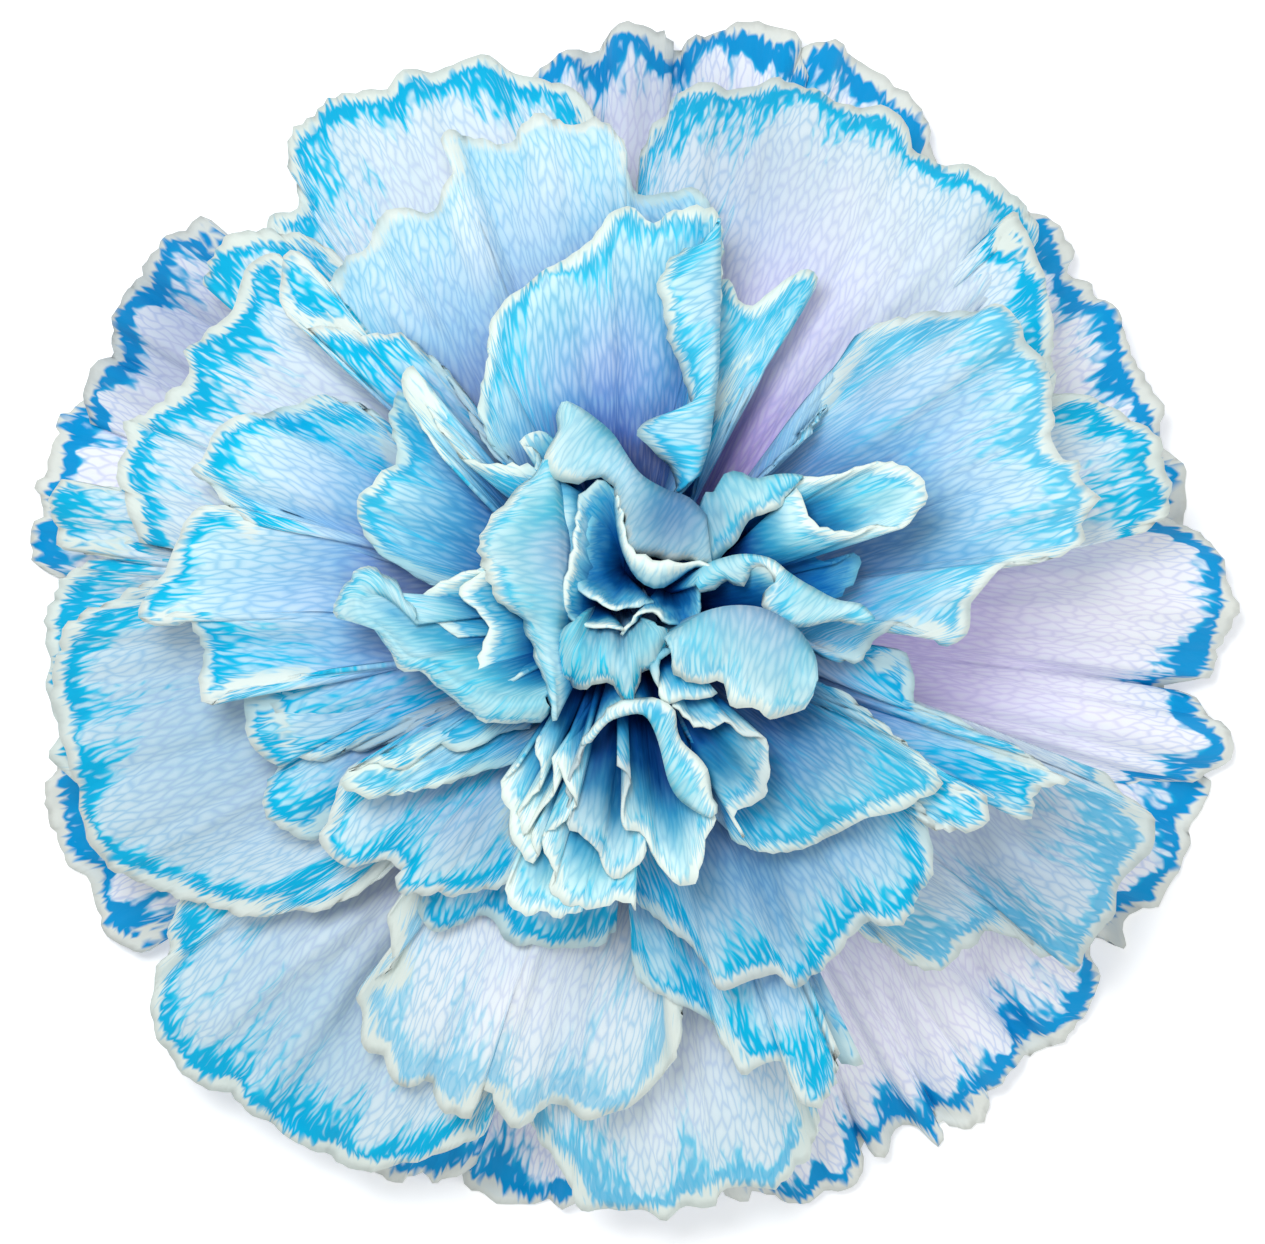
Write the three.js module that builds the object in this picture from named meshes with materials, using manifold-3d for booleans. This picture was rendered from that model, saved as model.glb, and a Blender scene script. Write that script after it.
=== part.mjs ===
// Tinted carnation: one fully open cut flower head, lying face up on its cut stem end and drooping guard petals.
// Millimetres, +Z up; the flower's axis is the Z axis and the surface it rests on is z = 0.
import * as THREE from "three";
import Module from "manifold-3d";

// Petal rows, from the lowest outwards-drooping guards to the crumpled heart.
// A margin point at radius r stands at edgeZ + (edgeR - r) * slope.
const ROWS = {
  guard: { edgeR: 40, edgeZ: 0.6, slope: 0.6, rootR: 4.6, rootZ: 22.6, rise: 6, claw: 5, reach: 0.55, arch: 5,
    waves: [15, 26], waveHeight: 1.3, step: 3.5, levels: [0, 0.5, 0.8, 1] },
  outer: { edgeR: 40, edgeZ: 9, slope: 0.9, rootR: 4.6, rootZ: 24, rise: 7, claw: 5, reach: 0.55, arch: 6,
    waves: [13, 22], waveHeight: 0.9, step: 4.8, levels: [0, 0.45, 0.75, 1] },
  middle: { edgeR: 34, edgeZ: 21.5, slope: 0.65, rootR: 4.2, rootZ: 27, rise: 8, claw: 4, reach: 0.55, arch: 4,
    waves: [11, 19], waveHeight: 0.7, step: 5, levels: [0, 0.5, 1] },
  inner: { edgeR: 27, edgeZ: 30.5, slope: 0.45, rootR: 3.2, rootZ: 30, rise: 7, claw: 3, reach: 0.55, arch: 2,
    waves: [9, 17], waveHeight: 0.5, step: 4.1, levels: [0, 0.5, 1] },
  heart: { edgeR: 20, edgeZ: 37, slope: 0.3, rootR: 1.6, rootZ: 32, rise: 5, claw: 2, reach: 0.5, arch: 0.5,
    waves: [7, 15], waveHeight: 0.4, step: 4.5, levels: [0, 0.5, 1] },
};

const PETAL_THICKNESS = 0.7;
const FOLD_LEVELS = [0, 0.5, 0.75, 1];
const FOLD_AT = 0.5;
const FEWEST_COLUMNS = 4;
// Two waves of ruffles run round each row: how much of the wave height each takes, and where each starts in radians.
const RUFFLES = [{ share: 0.6, start: 1.3 }, { share: 0.4, start: 0.4 }];

// Lengths in millimetres for cleaning the joined skin, and how often it is gone over.
const WELD = 0.01;
const LEAST_HEIGHT = 0.03;
const SHORTEST_EDGE = 0.22;
const SKIN_TOLERANCE = 0.1;
const CLEANING_ROUNDS = 3;
const MOST_CLEANING_PASSES = 12;

// The stalked bases of the petals form one bundle, which fills the calyx tube and swells above its mouth.
const BUNDLE_PROFILE = [
  [0, 5.6], [4.2, 5.6], [5.6, 8.4], [6, 12], [6.2, 18.6], [6.2, 20.4], [6.7, 23.2], [6.7, 28], [5.2, 31.6],
  [3.2, 33.6], [0, 34.2],
];
const BUNDLE_SIDES = 24;

const AXIS_RADIUS = 0.01;
const STEM = { radius: 2.7, top: 3.2, nodeRadius: 3.1, nodeHeight: 2.2, nodeRise: 1, sides: 28 };
const CALYX = {
  bottom: 3.5, floor: 5.2, mouth: 18.6, toothHeight: 2.6, teeth: 5, wall: 0.8, flare: 0.5,
  outline: [[3.5, 3.4], [5, 5.6], [8, 6.9], [12, 7.3], [18.6, 7.4]],
  bracts: 4, bractTop: 11.5, bractRelief: 0.7, bractHalfWidth: 0.62, bractTaper: 1.6, bractEdge: 8,
  toothTaper: 1.4, steps: 60,
  outerLevels: [0, 0.08, 0.22, 0.36, 0.5, 0.75, 1], innerLevels: [1, 0.5, 0.36, 0.22],
};
const COLOURS = { petals: 0xa9d8ee, calyx: 0x7fa05a, stem: 0x6f9150 };
const ROUGHNESS = { petals: 0.75, calyx: 0.6, stem: 0.6 };

// Every petal: its row, its margin seen from above as x, y points, and how far it stands above its row (lift).
// A folded petal also has the line its blade folds over before it reaches the margin (fold, raised by foldLift).
// A crumpled one names the place of its stalked base (root), a domed one how far its middle swells (hump), and a
// rolled one how high it bows between its fold and its margin (arch).
const PETALS = [];

function petal(name, row, options, margin) {
  PETALS.push({ name, row, margin, ...options });
}

petal("guard_1", "guard", { lift: 1.5 },
      [[-7.5, 34.5], [-6.2, 36.3], [-3.6, 38], [-2.1, 37.8], [-1.3, 39], [2.1, 39.3], [3.3, 37.6],
       [4.6, 38.7], [6.2, 38.9], [7.5, 39.9], [9.6, 39.6], [11.2, 38.3], [12, 36]]);
petal("guard_2", "guard", {},
      [[10.6, 36.2], [11.8, 38], [13.4, 38.2], [15.6, 37.2], [17.6, 35.6], [18.6, 34.8], [20, 32.5],
       [20.7, 30.2], [20.2, 28.5]]);
petal("guard_3", "guard", { lift: 1 },
      [[25.5, 27.6], [28, 26.5], [29.6, 24.6], [29.2, 23.1], [31.2, 22.4], [31.3, 21], [32.9, 20.1],
       [33.4, 18.2], [34.9, 15.2], [35.5, 12.2], [34.9, 10.5]]);
petal("guard_4", "guard", { lift: -1.5 },
      [[34.4, 12], [36, 10.9], [37.3, 10.2], [37.4, 8.9], [37.5, 7.9], [37, 5.9], [35.8, 4.8]]);
petal("guard_5", "guard", { lift: 1, hump: 2 },
      [[34.5, 7.2], [38.2, 5.3], [39.3, 4], [40.4, 2.1], [40.6, 0.2], [39.5, -1.2], [39.3, -3.3],
       [38.2, -4.3], [35.6, -4.9], [38, -6], [40.1, -7.2], [40.5, -8.8], [39.2, -10.4], [36.5, -11.2],
       [33.6, -11.6]]);
petal("guard_6", "guard", { lift: -1 },
      [[35.6, -9.6], [38.6, -11], [38.1, -14], [36.9, -17], [35.4, -19], [33.5, -20.4], [33.3, -22.4],
       [31.8, -21.6], [29.8, -21.6]]);
petal("guard_7", "guard", {},
      [[29.8, -19.6], [31, -21.8], [31.5, -24.4], [30.2, -27], [27.9, -29.4], [26.2, -29.6],
       [24.4, -31.4], [23.9, -33.5], [22.6, -34.6], [20.8, -33.9], [20.6, -35.5], [18.3, -34.4],
       [16.8, -36.3], [15.7, -35.4], [15.6, -37.8], [14.4, -38.7], [12.5, -38.7], [10.7, -39.4],
       [8.6, -38.8], [7.7, -39.2], [6, -38.2], [4, -37]]);
petal("guard_8", "guard", { lift: -1 },
      [[-2, -38.6], [-4.2, -39.3], [-6, -39.4], [-8.6, -39.6], [-9.9, -38.7], [-11.2, -37.6],
       [-11.6, -36]]);
petal("guard_9", "guard", { lift: 0.5 },
      [[-10.4, -36.6], [-11.7, -37.6], [-13.1, -38.3], [-13.9, -37.3], [-15.2, -37.5], [-16.1, -37.9],
       [-17.4, -36.8], [-18.5, -35.2]]);
petal("guard_10", "guard", {},
      [[-29.5, -19.5], [-31.5, -22], [-33.3, -22.4], [-35.3, -21.2], [-35.6, -20], [-36.4, -18.4],
       [-37.4, -16.8], [-38, -15.4], [-39.1, -13.4], [-39.2, -12], [-38.5, -10.2], [-37.6, -8.4],
       [-36.5, -7]]);
petal("guard_11", "guard", { lift: -1 },
      [[-36.4, 1], [-38.7, 2.5], [-40.2, 5.2], [-39.3, 7], [-39.8, 8.6], [-38.9, 10.2], [-38.2, 12],
       [-38.4, 13.3], [-36.9, 14.5], [-35.6, 14.4]]);
petal("guard_12", "guard", { lift: 0.5 },
      [[-36.2, 12.8], [-36.8, 15.2], [-35.6, 16.7], [-34.5, 17.4], [-35.1, 18.8], [-34.6, 20.2],
       [-33.3, 22], [-31.8, 24.1], [-31, 25.5], [-29.3, 26.3], [-28.3, 26.1], [-27.2, 24.8],
       [-25.8, 23]]);
petal("outer_1", "outer", { hump: 5 },
      [[1.6, 26], [0.6, 28.4], [0.7, 30], [1.6, 32.8], [2.9, 34.3], [5, 35.1], [8.3, 35.2], [9.4, 35.6],
       [11.6, 35.1], [13.2, 34.4], [15, 34.1], [16.2, 34], [18.1, 32.9], [19.2, 31.2], [20.8, 30.1],
       [22.8, 30], [24.2, 28.9], [26.4, 27.7], [27, 26], [26.5, 23.5]]);
petal("outer_2", "outer", { lift: 2.5 },
      [[24.7, 24.6], [25, 26.6], [25.8, 26.8], [26.6, 25], [27.7, 22.8], [27.8, 20.6], [28.1, 18.4],
       [28.2, 16], [27.6, 13.5]]);
petal("outer_3", "outer", {},
      [[26.6, 14], [28.3, 14.8], [30.4, 14.6], [32.6, 13.7], [34.6, 12.3], [35.3, 10.5], [36, 8.4],
       [35.7, 6.6], [34.2, 5.6]]);
petal("outer_4", "outer", {},
      [[31.5, -10.5], [34.2, -12.9], [35.1, -14], [34.5, -16], [33.2, -17.6], [32, -20], [30.6, -22.2],
       [29.8, -23.8], [28.2, -22.9], [26.2, -21.6], [24.5, -21.1], [22.8, -21.8], [21.2, -23.1],
       [19.8, -23.5], [17.8, -22.7], [15.6, -21.4], [14, -20]]);
petal("outer_5", "outer", { lift: -1.5 },
      [[11.5, -29.5], [12.2, -32.8], [12.3, -35], [12, -36.4], [9.6, -37.9], [7.4, -38.1], [6.3, -38.3],
       [5.6, -39.6], [3.9, -39.6], [2.4, -40.3], [1.2, -39.7], [-1.4, -40.1], [-3.4, -39.5],
       [-4.2, -37.6], [-5.6, -35.6], [-6.8, -33.6], [-7.2, -31.6]]);
petal("outer_6", "outer", { lift: 2 },
      [[3, -24.6], [3.4, -27.4], [2.7, -30], [1, -32], [-1, -33.1], [-3.4, -33.5], [-5.2, -32.7],
       [-6.8, -33.6], [-8.3, -33.8], [-9.5, -31.6], [-10.6, -33.3], [-12.2, -32.7], [-13.5, -31.2],
       [-15.4, -31.4], [-16.3, -29.4], [-17.6, -28.8], [-18, -26.8], [-18.2, -25], [-16.2, -23.8],
       [-15.9, -21.6], [-16.2, -20.2], [-15, -18.4]]);
petal("outer_7", "outer", { lift: -0.5 },
      [[-8.6, -31.6], [-9.2, -33.6], [-11.2, -35.4], [-13.6, -36.4], [-16.6, -37], [-19.6, -36.5],
       [-22.2, -35.3], [-24.2, -33.8], [-26.2, -32.3], [-28.6, -31.6], [-30.6, -29.6], [-31.6, -27.8],
       [-32.2, -26.3], [-31.9, -24.2], [-30.7, -22.4], [-30.8, -21], [-29.9, -19], [-28.2, -17.8]]);
petal("outer_8", "outer", { lift: 1.5 },
      [[-15.2, -16.4], [-17.8, -18.4], [-21, -19.6], [-25, -20], [-28.4, -19.1], [-31.6, -18.4],
       [-34, -17], [-35.8, -15.6], [-36.6, -13.6], [-37.2, -11], [-37.6, -8.6], [-38.6, -6],
       [-38.4, -3.2], [-37.6, -1.2], [-36.2, 0], [-34.6, 1], [-32.6, 2], [-30.4, 2.6]]);
petal("outer_9", "outer", { lift: -1 },
      [[-36.6, -11.5], [-38.6, -9.8], [-38, -8], [-39, -5.8], [-38.7, -3], [-38.9, 0], [-38.3, 2],
       [-36, 3.3], [-33.5, 4.4], [-30.6, 5], [-28.6, 5]]);
petal("outer_10", "outer", { lift: -0.5 },
      [[-33.4, 4.9], [-35.4, 4.2], [-37.9, 4.6], [-38.6, 6.8], [-37.9, 8.7], [-36.6, 8.7], [-34.2, 8.4]]);
petal("outer_11", "outer", { lift: 1.5 },
      [[-32.6, 4.8], [-33.2, 6.8], [-34.1, 9.4], [-33.6, 11.2], [-33.7, 13.1], [-32.2, 13],
       [-30.6, 14.8], [-29.3, 16.2], [-29.7, 17.6], [-28.2, 18.8], [-26.2, 20.2], [-26.3, 22],
       [-25.2, 23.6], [-23.4, 24.1], [-22.6, 22.6]]);
petal("outer_12", "outer", {},
      [[-28.4, 22], [-27.2, 24.7], [-25, 25.5], [-23.6, 25.8], [-21.6, 25.2], [-19.9, 24.2],
       [-18.6, 22.6]]);
petal("outer_13", "outer", { lift: -1.5 },
      [[-22.6, 24.4], [-24.2, 25.8], [-23.9, 26.7], [-22.1, 27.1], [-22.7, 30.2], [-21.9, 32.8],
       [-19.8, 34.6], [-16.6, 35], [-14.8, 36.5], [-12.6, 36.6], [-9.4, 37.2], [-7, 36.1], [-5, 35.5],
       [-3.2, 34.5], [-2.4, 32.6], [-2, 31]]);
petal("middle_1", "middle", {},
      [[-19.6, 18.8], [-20.2, 21], [-19.2, 23.4], [-17.4, 24.2], [-16.7, 26.2], [-15, 27.1],
       [-13.2, 26.9], [-12, 29], [-11.8, 30.2], [-12.6, 31.5], [-11.8, 32.3], [-9.8, 31.6], [-8, 31.1],
       [-6.9, 32.6], [-5.6, 33.1], [-3.8, 32.5], [-2.3, 32.8], [-0.7, 31.7], [-0.4, 29.8], [0.6, 28.1],
       [2.4, 28], [4.4, 28.3], [5.3, 27], [5, 25]]);
petal("middle_2", "middle", { lift: 1 },
      [[10, 10.4], [12.8, 13.4], [13.8, 16.4], [15.6, 18.7], [19, 19.9], [22.6, 20.3], [25, 20.2],
       [26.6, 18], [27.7, 16.6], [28, 13.6], [28, 11], [29.8, 10.2], [29.8, 8.8], [30.8, 7.7],
       [29.9, 6.2], [30, 4.8], [27.6, 3.6], [24.8, 3.1], [23.1, 1.2], [22.3, -1.2], [21.2, -1.9],
       [19.6, -1.2], [17.8, -0.6], [16.4, -1.6], [15.2, -2.9], [13.2, -2.6], [11.2, -1.2]]);
petal("middle_3", "middle", { lift: -1 },
      [[16.4, -2.9], [18, -2.3], [18.9, -3.6], [18.9, -5.8], [20.2, -6.9], [22.4, -7.2], [25.2, -8.8],
       [27.6, -10.1], [29.2, -11], [27.8, -11.3], [26.6, -12], [26.7, -13.3], [25.6, -13.2],
       [23.8, -12], [22, -12.5]]);
petal("middle_4", "middle", { lift: 1 },
      [[19, -12.2], [20, -14.6], [19.9, -17.2], [18.9, -18.6], [18, -20.4], [15.6, -20.5], [13.8, -22],
       [12.2, -23.9], [10.9, -24.8], [9.6, -23.8], [7.8, -24.3], [5.9, -24.7], [4.8, -23.3], [3, -21],
       [1.4, -19.8], [0, -18.6]]);
petal("middle_5", "middle", { lift: -3.5 },
      [[9.8, -23], [10.4, -25.6], [11.2, -26.9], [13, -27.3], [14.6, -28.6], [15.4, -29.8],
       [14.4, -29.9], [13.4, -29]]);
petal("middle_6", "middle", { lift: -2 },
      [[0.2, -22.8], [0.8, -24.6], [2.8, -25.4], [5, -27], [6.4, -28.8], [7.6, -30.6], [9, -29.7],
       [10.3, -30.2], [11.2, -32], [12.7, -32.6], [13.7, -31], [13.6, -28.8], [12.6, -26.8]]);
petal("middle_7", "middle", { lift: -3 },
      [[-1, -20.8], [-2.4, -21.9], [-4.8, -22.2], [-6.2, -21.7], [-8.2, -21.7], [-9.2, -20.1],
       [-11.2, -20.6], [-13, -20.8], [-14.2, -19.4], [-13.6, -17.5]]);
petal("middle_8", "middle", {},
      [[-7.6, -12.4], [-7.8, -14.2], [-7.2, -16.2], [-8.4, -17.9], [-10.6, -18.4], [-13.6, -18.4],
       [-15.3, -18.1], [-15.1, -16.7], [-16.6, -16.3], [-18.6, -16.6], [-20.6, -14.9], [-19.9, -13.2],
       [-19.4, -11.2], [-18.6, -10]]);
petal("middle_9", "middle", { lift: -2 },
      [[-19.6, -13.4], [-20.8, -14.9], [-22.6, -14.5], [-24, -13], [-24.1, -11.4], [-23.2, -9.8],
       [-22.4, -8.4]]);
petal("middle_10", "middle", { lift: -1 },
      [[-23, -10], [-24.6, -8.9], [-25.3, -7], [-25.2, -5], [-23.9, -5.7], [-22.7, -7], [-22.4, -8.9],
       [-21.2, -9.6], [-19.4, -9], [-16.4, -8.6], [-14.6, -7.8], [-13.2, -6.6], [-11.6, -6]]);
petal("middle_11", "middle", { lift: 1 },
      [[-22, -4], [-25.4, -4.9], [-28, -5.8], [-28.4, -4.2], [-28, -2.6], [-28.8, -1], [-29.6, 0.2],
       [-31.2, -0.4], [-32.4, -0.2], [-31.9, 1.6], [-30.2, 4.4], [-29.5, 6.2], [-28.2, 7.3],
       [-26.4, 7.2], [-25, 6]]);
petal("middle_12", "middle", {},
      [[-25, 6.2], [-27.2, 7.8], [-29.2, 9.5], [-28.2, 10.6], [-27.4, 12.3], [-26, 13], [-23.4, 13.7],
       [-20.6, 14.3], [-18.2, 13.9], [-16.3, 12.6], [-15.3, 10.8], [-15, 9]]);
petal("middle_13", "middle", { lift: 1.5 },
      [[-19.8, 21.6], [-22.2, 23.9], [-23.1, 22.6], [-23.2, 21], [-22.6, 19.8], [-21.2, 19],
       [-19.4, 19.1], [-17.2, 18.3], [-15, 18.4], [-13.2, 17.2], [-11.4, 14.8], [-10, 12.2],
       [-8.8, 10.4]]);
petal("inner_1", "inner", {},
      [[-8, 10.2], [-9.6, 12.2], [-9.9, 14.4], [-9.4, 16.4], [-9.4, 18.8], [-8.6, 20.4], [-6.6, 22.1],
       [-4.8, 23.4], [-2.6, 24.8], [-1.2, 26.7], [0, 27], [1.3, 26], [3, 26.6], [4.8, 26.9],
       [5.9, 26.2], [6, 23], [5.9, 19], [5.7, 14.5]]);
petal("inner_1_flap", "inner", { fold: [[5.9, 26.2], [5.9, 22], [5.8, 18], [5.6, 14.5], [5.2, 11.6],
      [4.5, 9.2]] },
      [[5.6, 25.4], [4.4, 24.3], [3, 23.9], [2.1, 22.2], [2.4, 19.4], [3, 16.8], [4.1, 14.4],
       [3.4, 13.1], [1.2, 13], [0.3, 11.8], [2.2, 10.3], [3, 8.6], [2.8, 7.9]]);
petal("inner_2", "inner", { lift: -3 },
      [[5.6, 13.4], [7, 15.7], [9.2, 18], [11, 20.2], [12.3, 22.4], [11.4, 22.9], [10, 22.1], [9, 21.3],
       [8, 20.5], [7.1, 21], [6.6, 22.2], [5.6, 22]]);
petal("inner_4", "inner", {},
      [[4.8, -9.6], [5.2, -11.4], [5.7, -13.2], [7.2, -15], [9, -15.8], [11.2, -15.6], [13.2, -14.7],
       [15.2, -13.6], [17.4, -13.2], [19.2, -12.2], [20.6, -11.2], [19, -9.2], [16.6, -7.2], [14, -5]]);
petal("inner_5", "middle", { lift: 2 },
      [[19.2, -12.4], [20.2, -14], [21.2, -14.3], [22.8, -14.2], [23.6, -13.2], [23.4, -11.9],
       [21.6, -11.5]]);
petal("inner_6", "inner", {},
      [[-7.4, -9.8], [-9.6, -10.4], [-12, -11], [-15, -11.8], [-17.6, -11.9], [-19, -11], [-17.4, -9.8],
       [-15.2, -10.1], [-14.2, -9.6], [-13.9, -8.6], [-12.8, -8.2], [-11.2, -8.9], [-9.4, -8.1],
       [-8, -7.5], [-6.6, -7.4]]);
petal("inner_7", "inner", {},
      [[-13.6, 12.8], [-15.2, 14.6], [-15.8, 12.8], [-15.3, 10.4], [-16.8, 8.8], [-18.1, 7.4],
       [-17.7, 5.6], [-16.6, 4], [-15, 3], [-13, 1.8], [-11.4, 1.4]]);
petal("inner_8", "inner", { lift: 2 },
      [[-12.4, 10.2], [-13.8, 12.4], [-15, 14.6], [-14.9, 16], [-14.1, 16.4], [-13.7, 14.4],
       [-12.4, 12.2], [-11.2, 10.6], [-9.2, 9.9], [-7.2, 9.9], [-5.8, 9.6]]);
petal("heart_1", "heart", {},
      [[-6.2, 9.6], [-6.2, 10.8], [-7.2, 11.2], [-6.8, 11.9], [-5.8, 12.2], [-4.7, 11.4]]);
petal("heart_2", "heart", { lift: 0.5, arch: 1.2, foldLift: 0.6, fold: [[-4.2, 14], [-3.4, 13.6],
      [-2.2, 12.7], [-1.2, 11.8], [-0.4, 10.6], [0.7, 9.1], [2.4, 8.1], [3.8, 7.6], [4.9, 6.5]] },
      [[-4.3, 13.9], [-4.7, 13.1], [-4.5, 12.1], [-5.2, 10.9], [-5.4, 9.6], [-4, 8.8], [-2.2, 9],
       [-1.1, 8.2], [-0.3, 6.3], [-0.2, 4.6], [0.8, 3.8], [2.6, 3.6], [4.2, 3.4], [5.4, 3.2]]);
petal("heart_3", "heart", {},
      [[-0.9, 7.6], [-1.2, 8.6], [-2.2, 8.7], [-3.4, 7.6], [-3.3, 6], [-3.9, 4], [-4.3, 2], [-4.3, 0.2],
       [-3.2, -0.6], [-1.6, -0.9], [-0.4, -1.1]]);
petal("heart_4", "heart", { arch: 0.6, foldLift: 0.5, fold: [[4.8, 6.2], [5.1, 8.1], [5.7, 7.8],
      [6.3, 9.2], [7.4, 9.2], [8.2, 8.8], [9.4, 9.1], [10.6, 9.2], [11.4, 9.1]] },
      [[5.4, 3.1], [6.2, 3.9], [6.8, 4.6], [7.4, 5.6], [8, 6.3], [9.2, 6.7], [9.8, 6.9], [10.3, 7.7],
       [10.8, 8.4]]);
petal("heart_5", "heart", { arch: 0.6, foldLift: 0.8, fold: [[4.4, 2], [4.9, 3.1], [6, 3.6], [7.6, 3.9],
      [9.3, 3.6], [10.4, 2.7], [12, 1.7], [13.6, 0.9], [15.2, 0.6], [16.1, -0.3]] },
      [[4.6, 1.4], [5.2, 1.6], [6.2, 2.2], [7.2, 2], [8.4, 3.1], [9.1, 2.7], [9.7, 1.6], [8.8, 0.8],
       [9.2, 0], [10.5, -0.7], [12, -0.6], [13.6, -0.3], [15.2, -0.5]]);
petal("heart_6", "heart", { lift: -0.6, hump: 8, root: [-1, 0.6] },
      [[-4.8, -1.2], [-5, -2.8], [-4.8, -4.3], [-4.3, -4.5], [-4, -4.1], [-3.6, -4.8], [-2.9, -4.8],
       [-2.4, -4.3], [-1.2, -4.6], [-0.6, -5.6], [0.1, -5.8], [0.5, -4.6], [1.1, -3.6], [1.8, -2.9],
       [2.4, -2], [2.4, -1]]);
petal("heart_7", "heart", { lift: 0.8, arch: 1.2, foldLift: 0.2, fold: [[2.3, -1.6], [3.6, -0.8],
      [5, 0.1], [6.6, 0.5], [8.5, 0.4], [10, -0.3], [11.2, -1.3], [12.1, -2.8], [12.3, -4.2]] },
      [[2.9, -2.4], [2.8, -3.7], [3.4, -4.4], [4.4, -4.6], [6.1, -4.5], [6.5, -6], [7.5, -6.2],
       [8.3, -6.2], [9, -6.9], [10.4, -6.8], [11.6, -6], [12.1, -4.8]]);
petal("heart_8", "heart", { hump: 3 },
      [[3.2, -2.2], [2, -2.8], [1.7, -4.2], [2.2, -5.8], [3.6, -5.6], [5, -5.6], [5.8, -5.2]]);
petal("heart_9", "heart", {},
      [[2.8, -6], [4.2, -7.1], [5.2, -7.5], [6.4, -7.2], [7.6, -8], [8.8, -8.2], [9.2, -9.6],
       [9, -11.8], [7.8, -12.7], [6.9, -13.1], [7.6, -14.6]]);
petal("heart_10", "heart", { arch: 0.4, foldLift: 0.3, fold: [[-2.6, -8.3], [-1.6, -7.1], [-0.6, -6.6],
      [0.6, -6.4], [1.3, -6.8], [1.8, -7.8], [2.2, -9.2], [2.6, -10.8], [3.3, -12], [4.6, -13],
      [5.3, -13.3]] },
      [[-3.2, -8.6], [-2.4, -7.3], [-1.2, -6.2], [0, -5.7], [1.2, -5.6], [2, -5.8], [2.7, -6.2],
       [2.9, -7.2], [3.3, -8.2], [4.2, -9.2], [5, -10.2], [5.2, -11.4], [5.7, -13]]);
petal("heart_11", "heart", {},
      [[-3, -8.4], [-3.8, -10.4], [-4, -12.6], [-3.8, -14.2], [-2.6, -14.8], [-1.9, -16.2], [-1, -17.3],
       [0.2, -16.8], [1.2, -15.6]]);
petal("heart_12", "heart", {},
      [[-0.9, -10], [0, -10.8], [-0.8, -12.8], [-0.4, -14.2], [0.8, -14.4], [1.4, -15.6], [2.6, -17.3],
       [3.6, -17.9], [4.6, -17.2], [4.8, -15.6], [5.5, -13.4]]);
petal("heart_13", "heart", {},
      [[-7.4, -9.9], [-8.5, -11.4], [-7.9, -13.2], [-7.7, -14.8], [-6.8, -16.2], [-6.2, -15.9],
       [-6.6, -14.4]]);
petal("heart_14", "heart", {},
      [[-6, -8.2], [-6.1, -9.4], [-5.7, -10.6], [-6.6, -12.2], [-7.3, -13.4], [-6.8, -14.6],
       [-5.6, -12.6], [-4.9, -11.2], [-5, -9.4]]);
petal("heart_15", "heart", {},
      [[-4.9, -9.8], [-4.2, -11.4], [-3.7, -12.6], [-4.4, -13.7], [-5.6, -14.4], [-5.6, -15.8],
       [-4.9, -16.8], [-5.2, -18.2], [-4.2, -19], [-2.4, -19.3], [-0.6, -18.8], [0.4, -19.4]]);
petal("heart_16", "heart", {},
      [[-8.1, -17.6], [-8.1, -18.8], [-7, -19.8], [-5.8, -19.5], [-4.6, -19.9], [-3.2, -19.4]]);
petal("heart_17", "heart", { arch: 0.8, foldLift: 0.8, fold: [[-5.4, 10.2], [-5.1, 8.4], [-4.9, 6.4],
      [-4.8, 4.2], [-4.8, 2], [-4.9, -0.2], [-5, -2.4], [-4.9, -4.6], [-4.9, -6.9]] },
      [[-5.7, 10.2], [-6.6, 8.9], [-7.9, 7.6], [-9.3, 6], [-10, 4.1], [-9.3, 2.4], [-8.4, 1],
       [-7.4, 0.1], [-6.9, -1.1], [-6.2, -2.7], [-5.6, -4.2], [-5.3, -5.6], [-5.1, -7]]);
petal("heart_19", "heart", {},
      [[-9.6, 3.2], [-11.4, 2.6], [-13.2, 1.7], [-14.2, 0.3], [-13, -0.5], [-11.4, -1.6]]);
petal("heart_20", "heart", {},
      [[-9.6, 3], [-11.1, 2], [-11.2, 1.2], [-10, 0.1], [-9.3, -0.8], [-9.9, -2.8], [-9.8, -4],
       [-8.4, -4.4], [-7.2, -4]]);
petal("heart_21", "heart", { fold: [[-14, -0.6], [-15.4, 0.8], [-16.8, 1.5], [-17.5, 0.9], [-17.2, 0],
      [-15.4, -1.6], [-14.4, -2.8], [-13, -3], [-11, -4.4], [-8.4, -5.4], [-5.6, -5.4]] },
      [[-14.3, 0.5], [-15.6, 2], [-17.2, 3.2], [-18.8, 2], [-19.5, 0], [-18.4, -0.1], [-16.9, -1.2],
       [-15.8, -2.5], [-14.9, -3.7], [-13.5, -3.8], [-12.2, -5.2], [-10.4, -6.5], [-8.2, -7],
       [-6.2, -7], [-5.2, -6.2]]);
petal("heart_22", "heart", { lift: 0.5 },
      [[10.9, 8.3], [11.3, 7.8], [11.7, 6.6], [12.6, 5.8], [13.8, 5.6], [15, 5.4], [16.4, 5.6],
       [17.6, 6], [18.8, 6.6], [19.4, 7.4], [19.5, 8.4], [18.8, 9.4], [17.6, 10], [16.4, 10.1],
       [15, 9.7], [14.2, 9.4], [12.4, 9.2], [11.4, 9.2]]);
petal("heart_23", "heart", { lift: -3 },
      [[9, 4.9], [10.2, 5.4], [10.9, 5.7], [11.5, 5], [12.2, 3.9], [13, 3.5], [14, 3.7], [15.1, 4.1],
       [15.1, 3], [14.6, 2], [13.5, 1]]);
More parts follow.
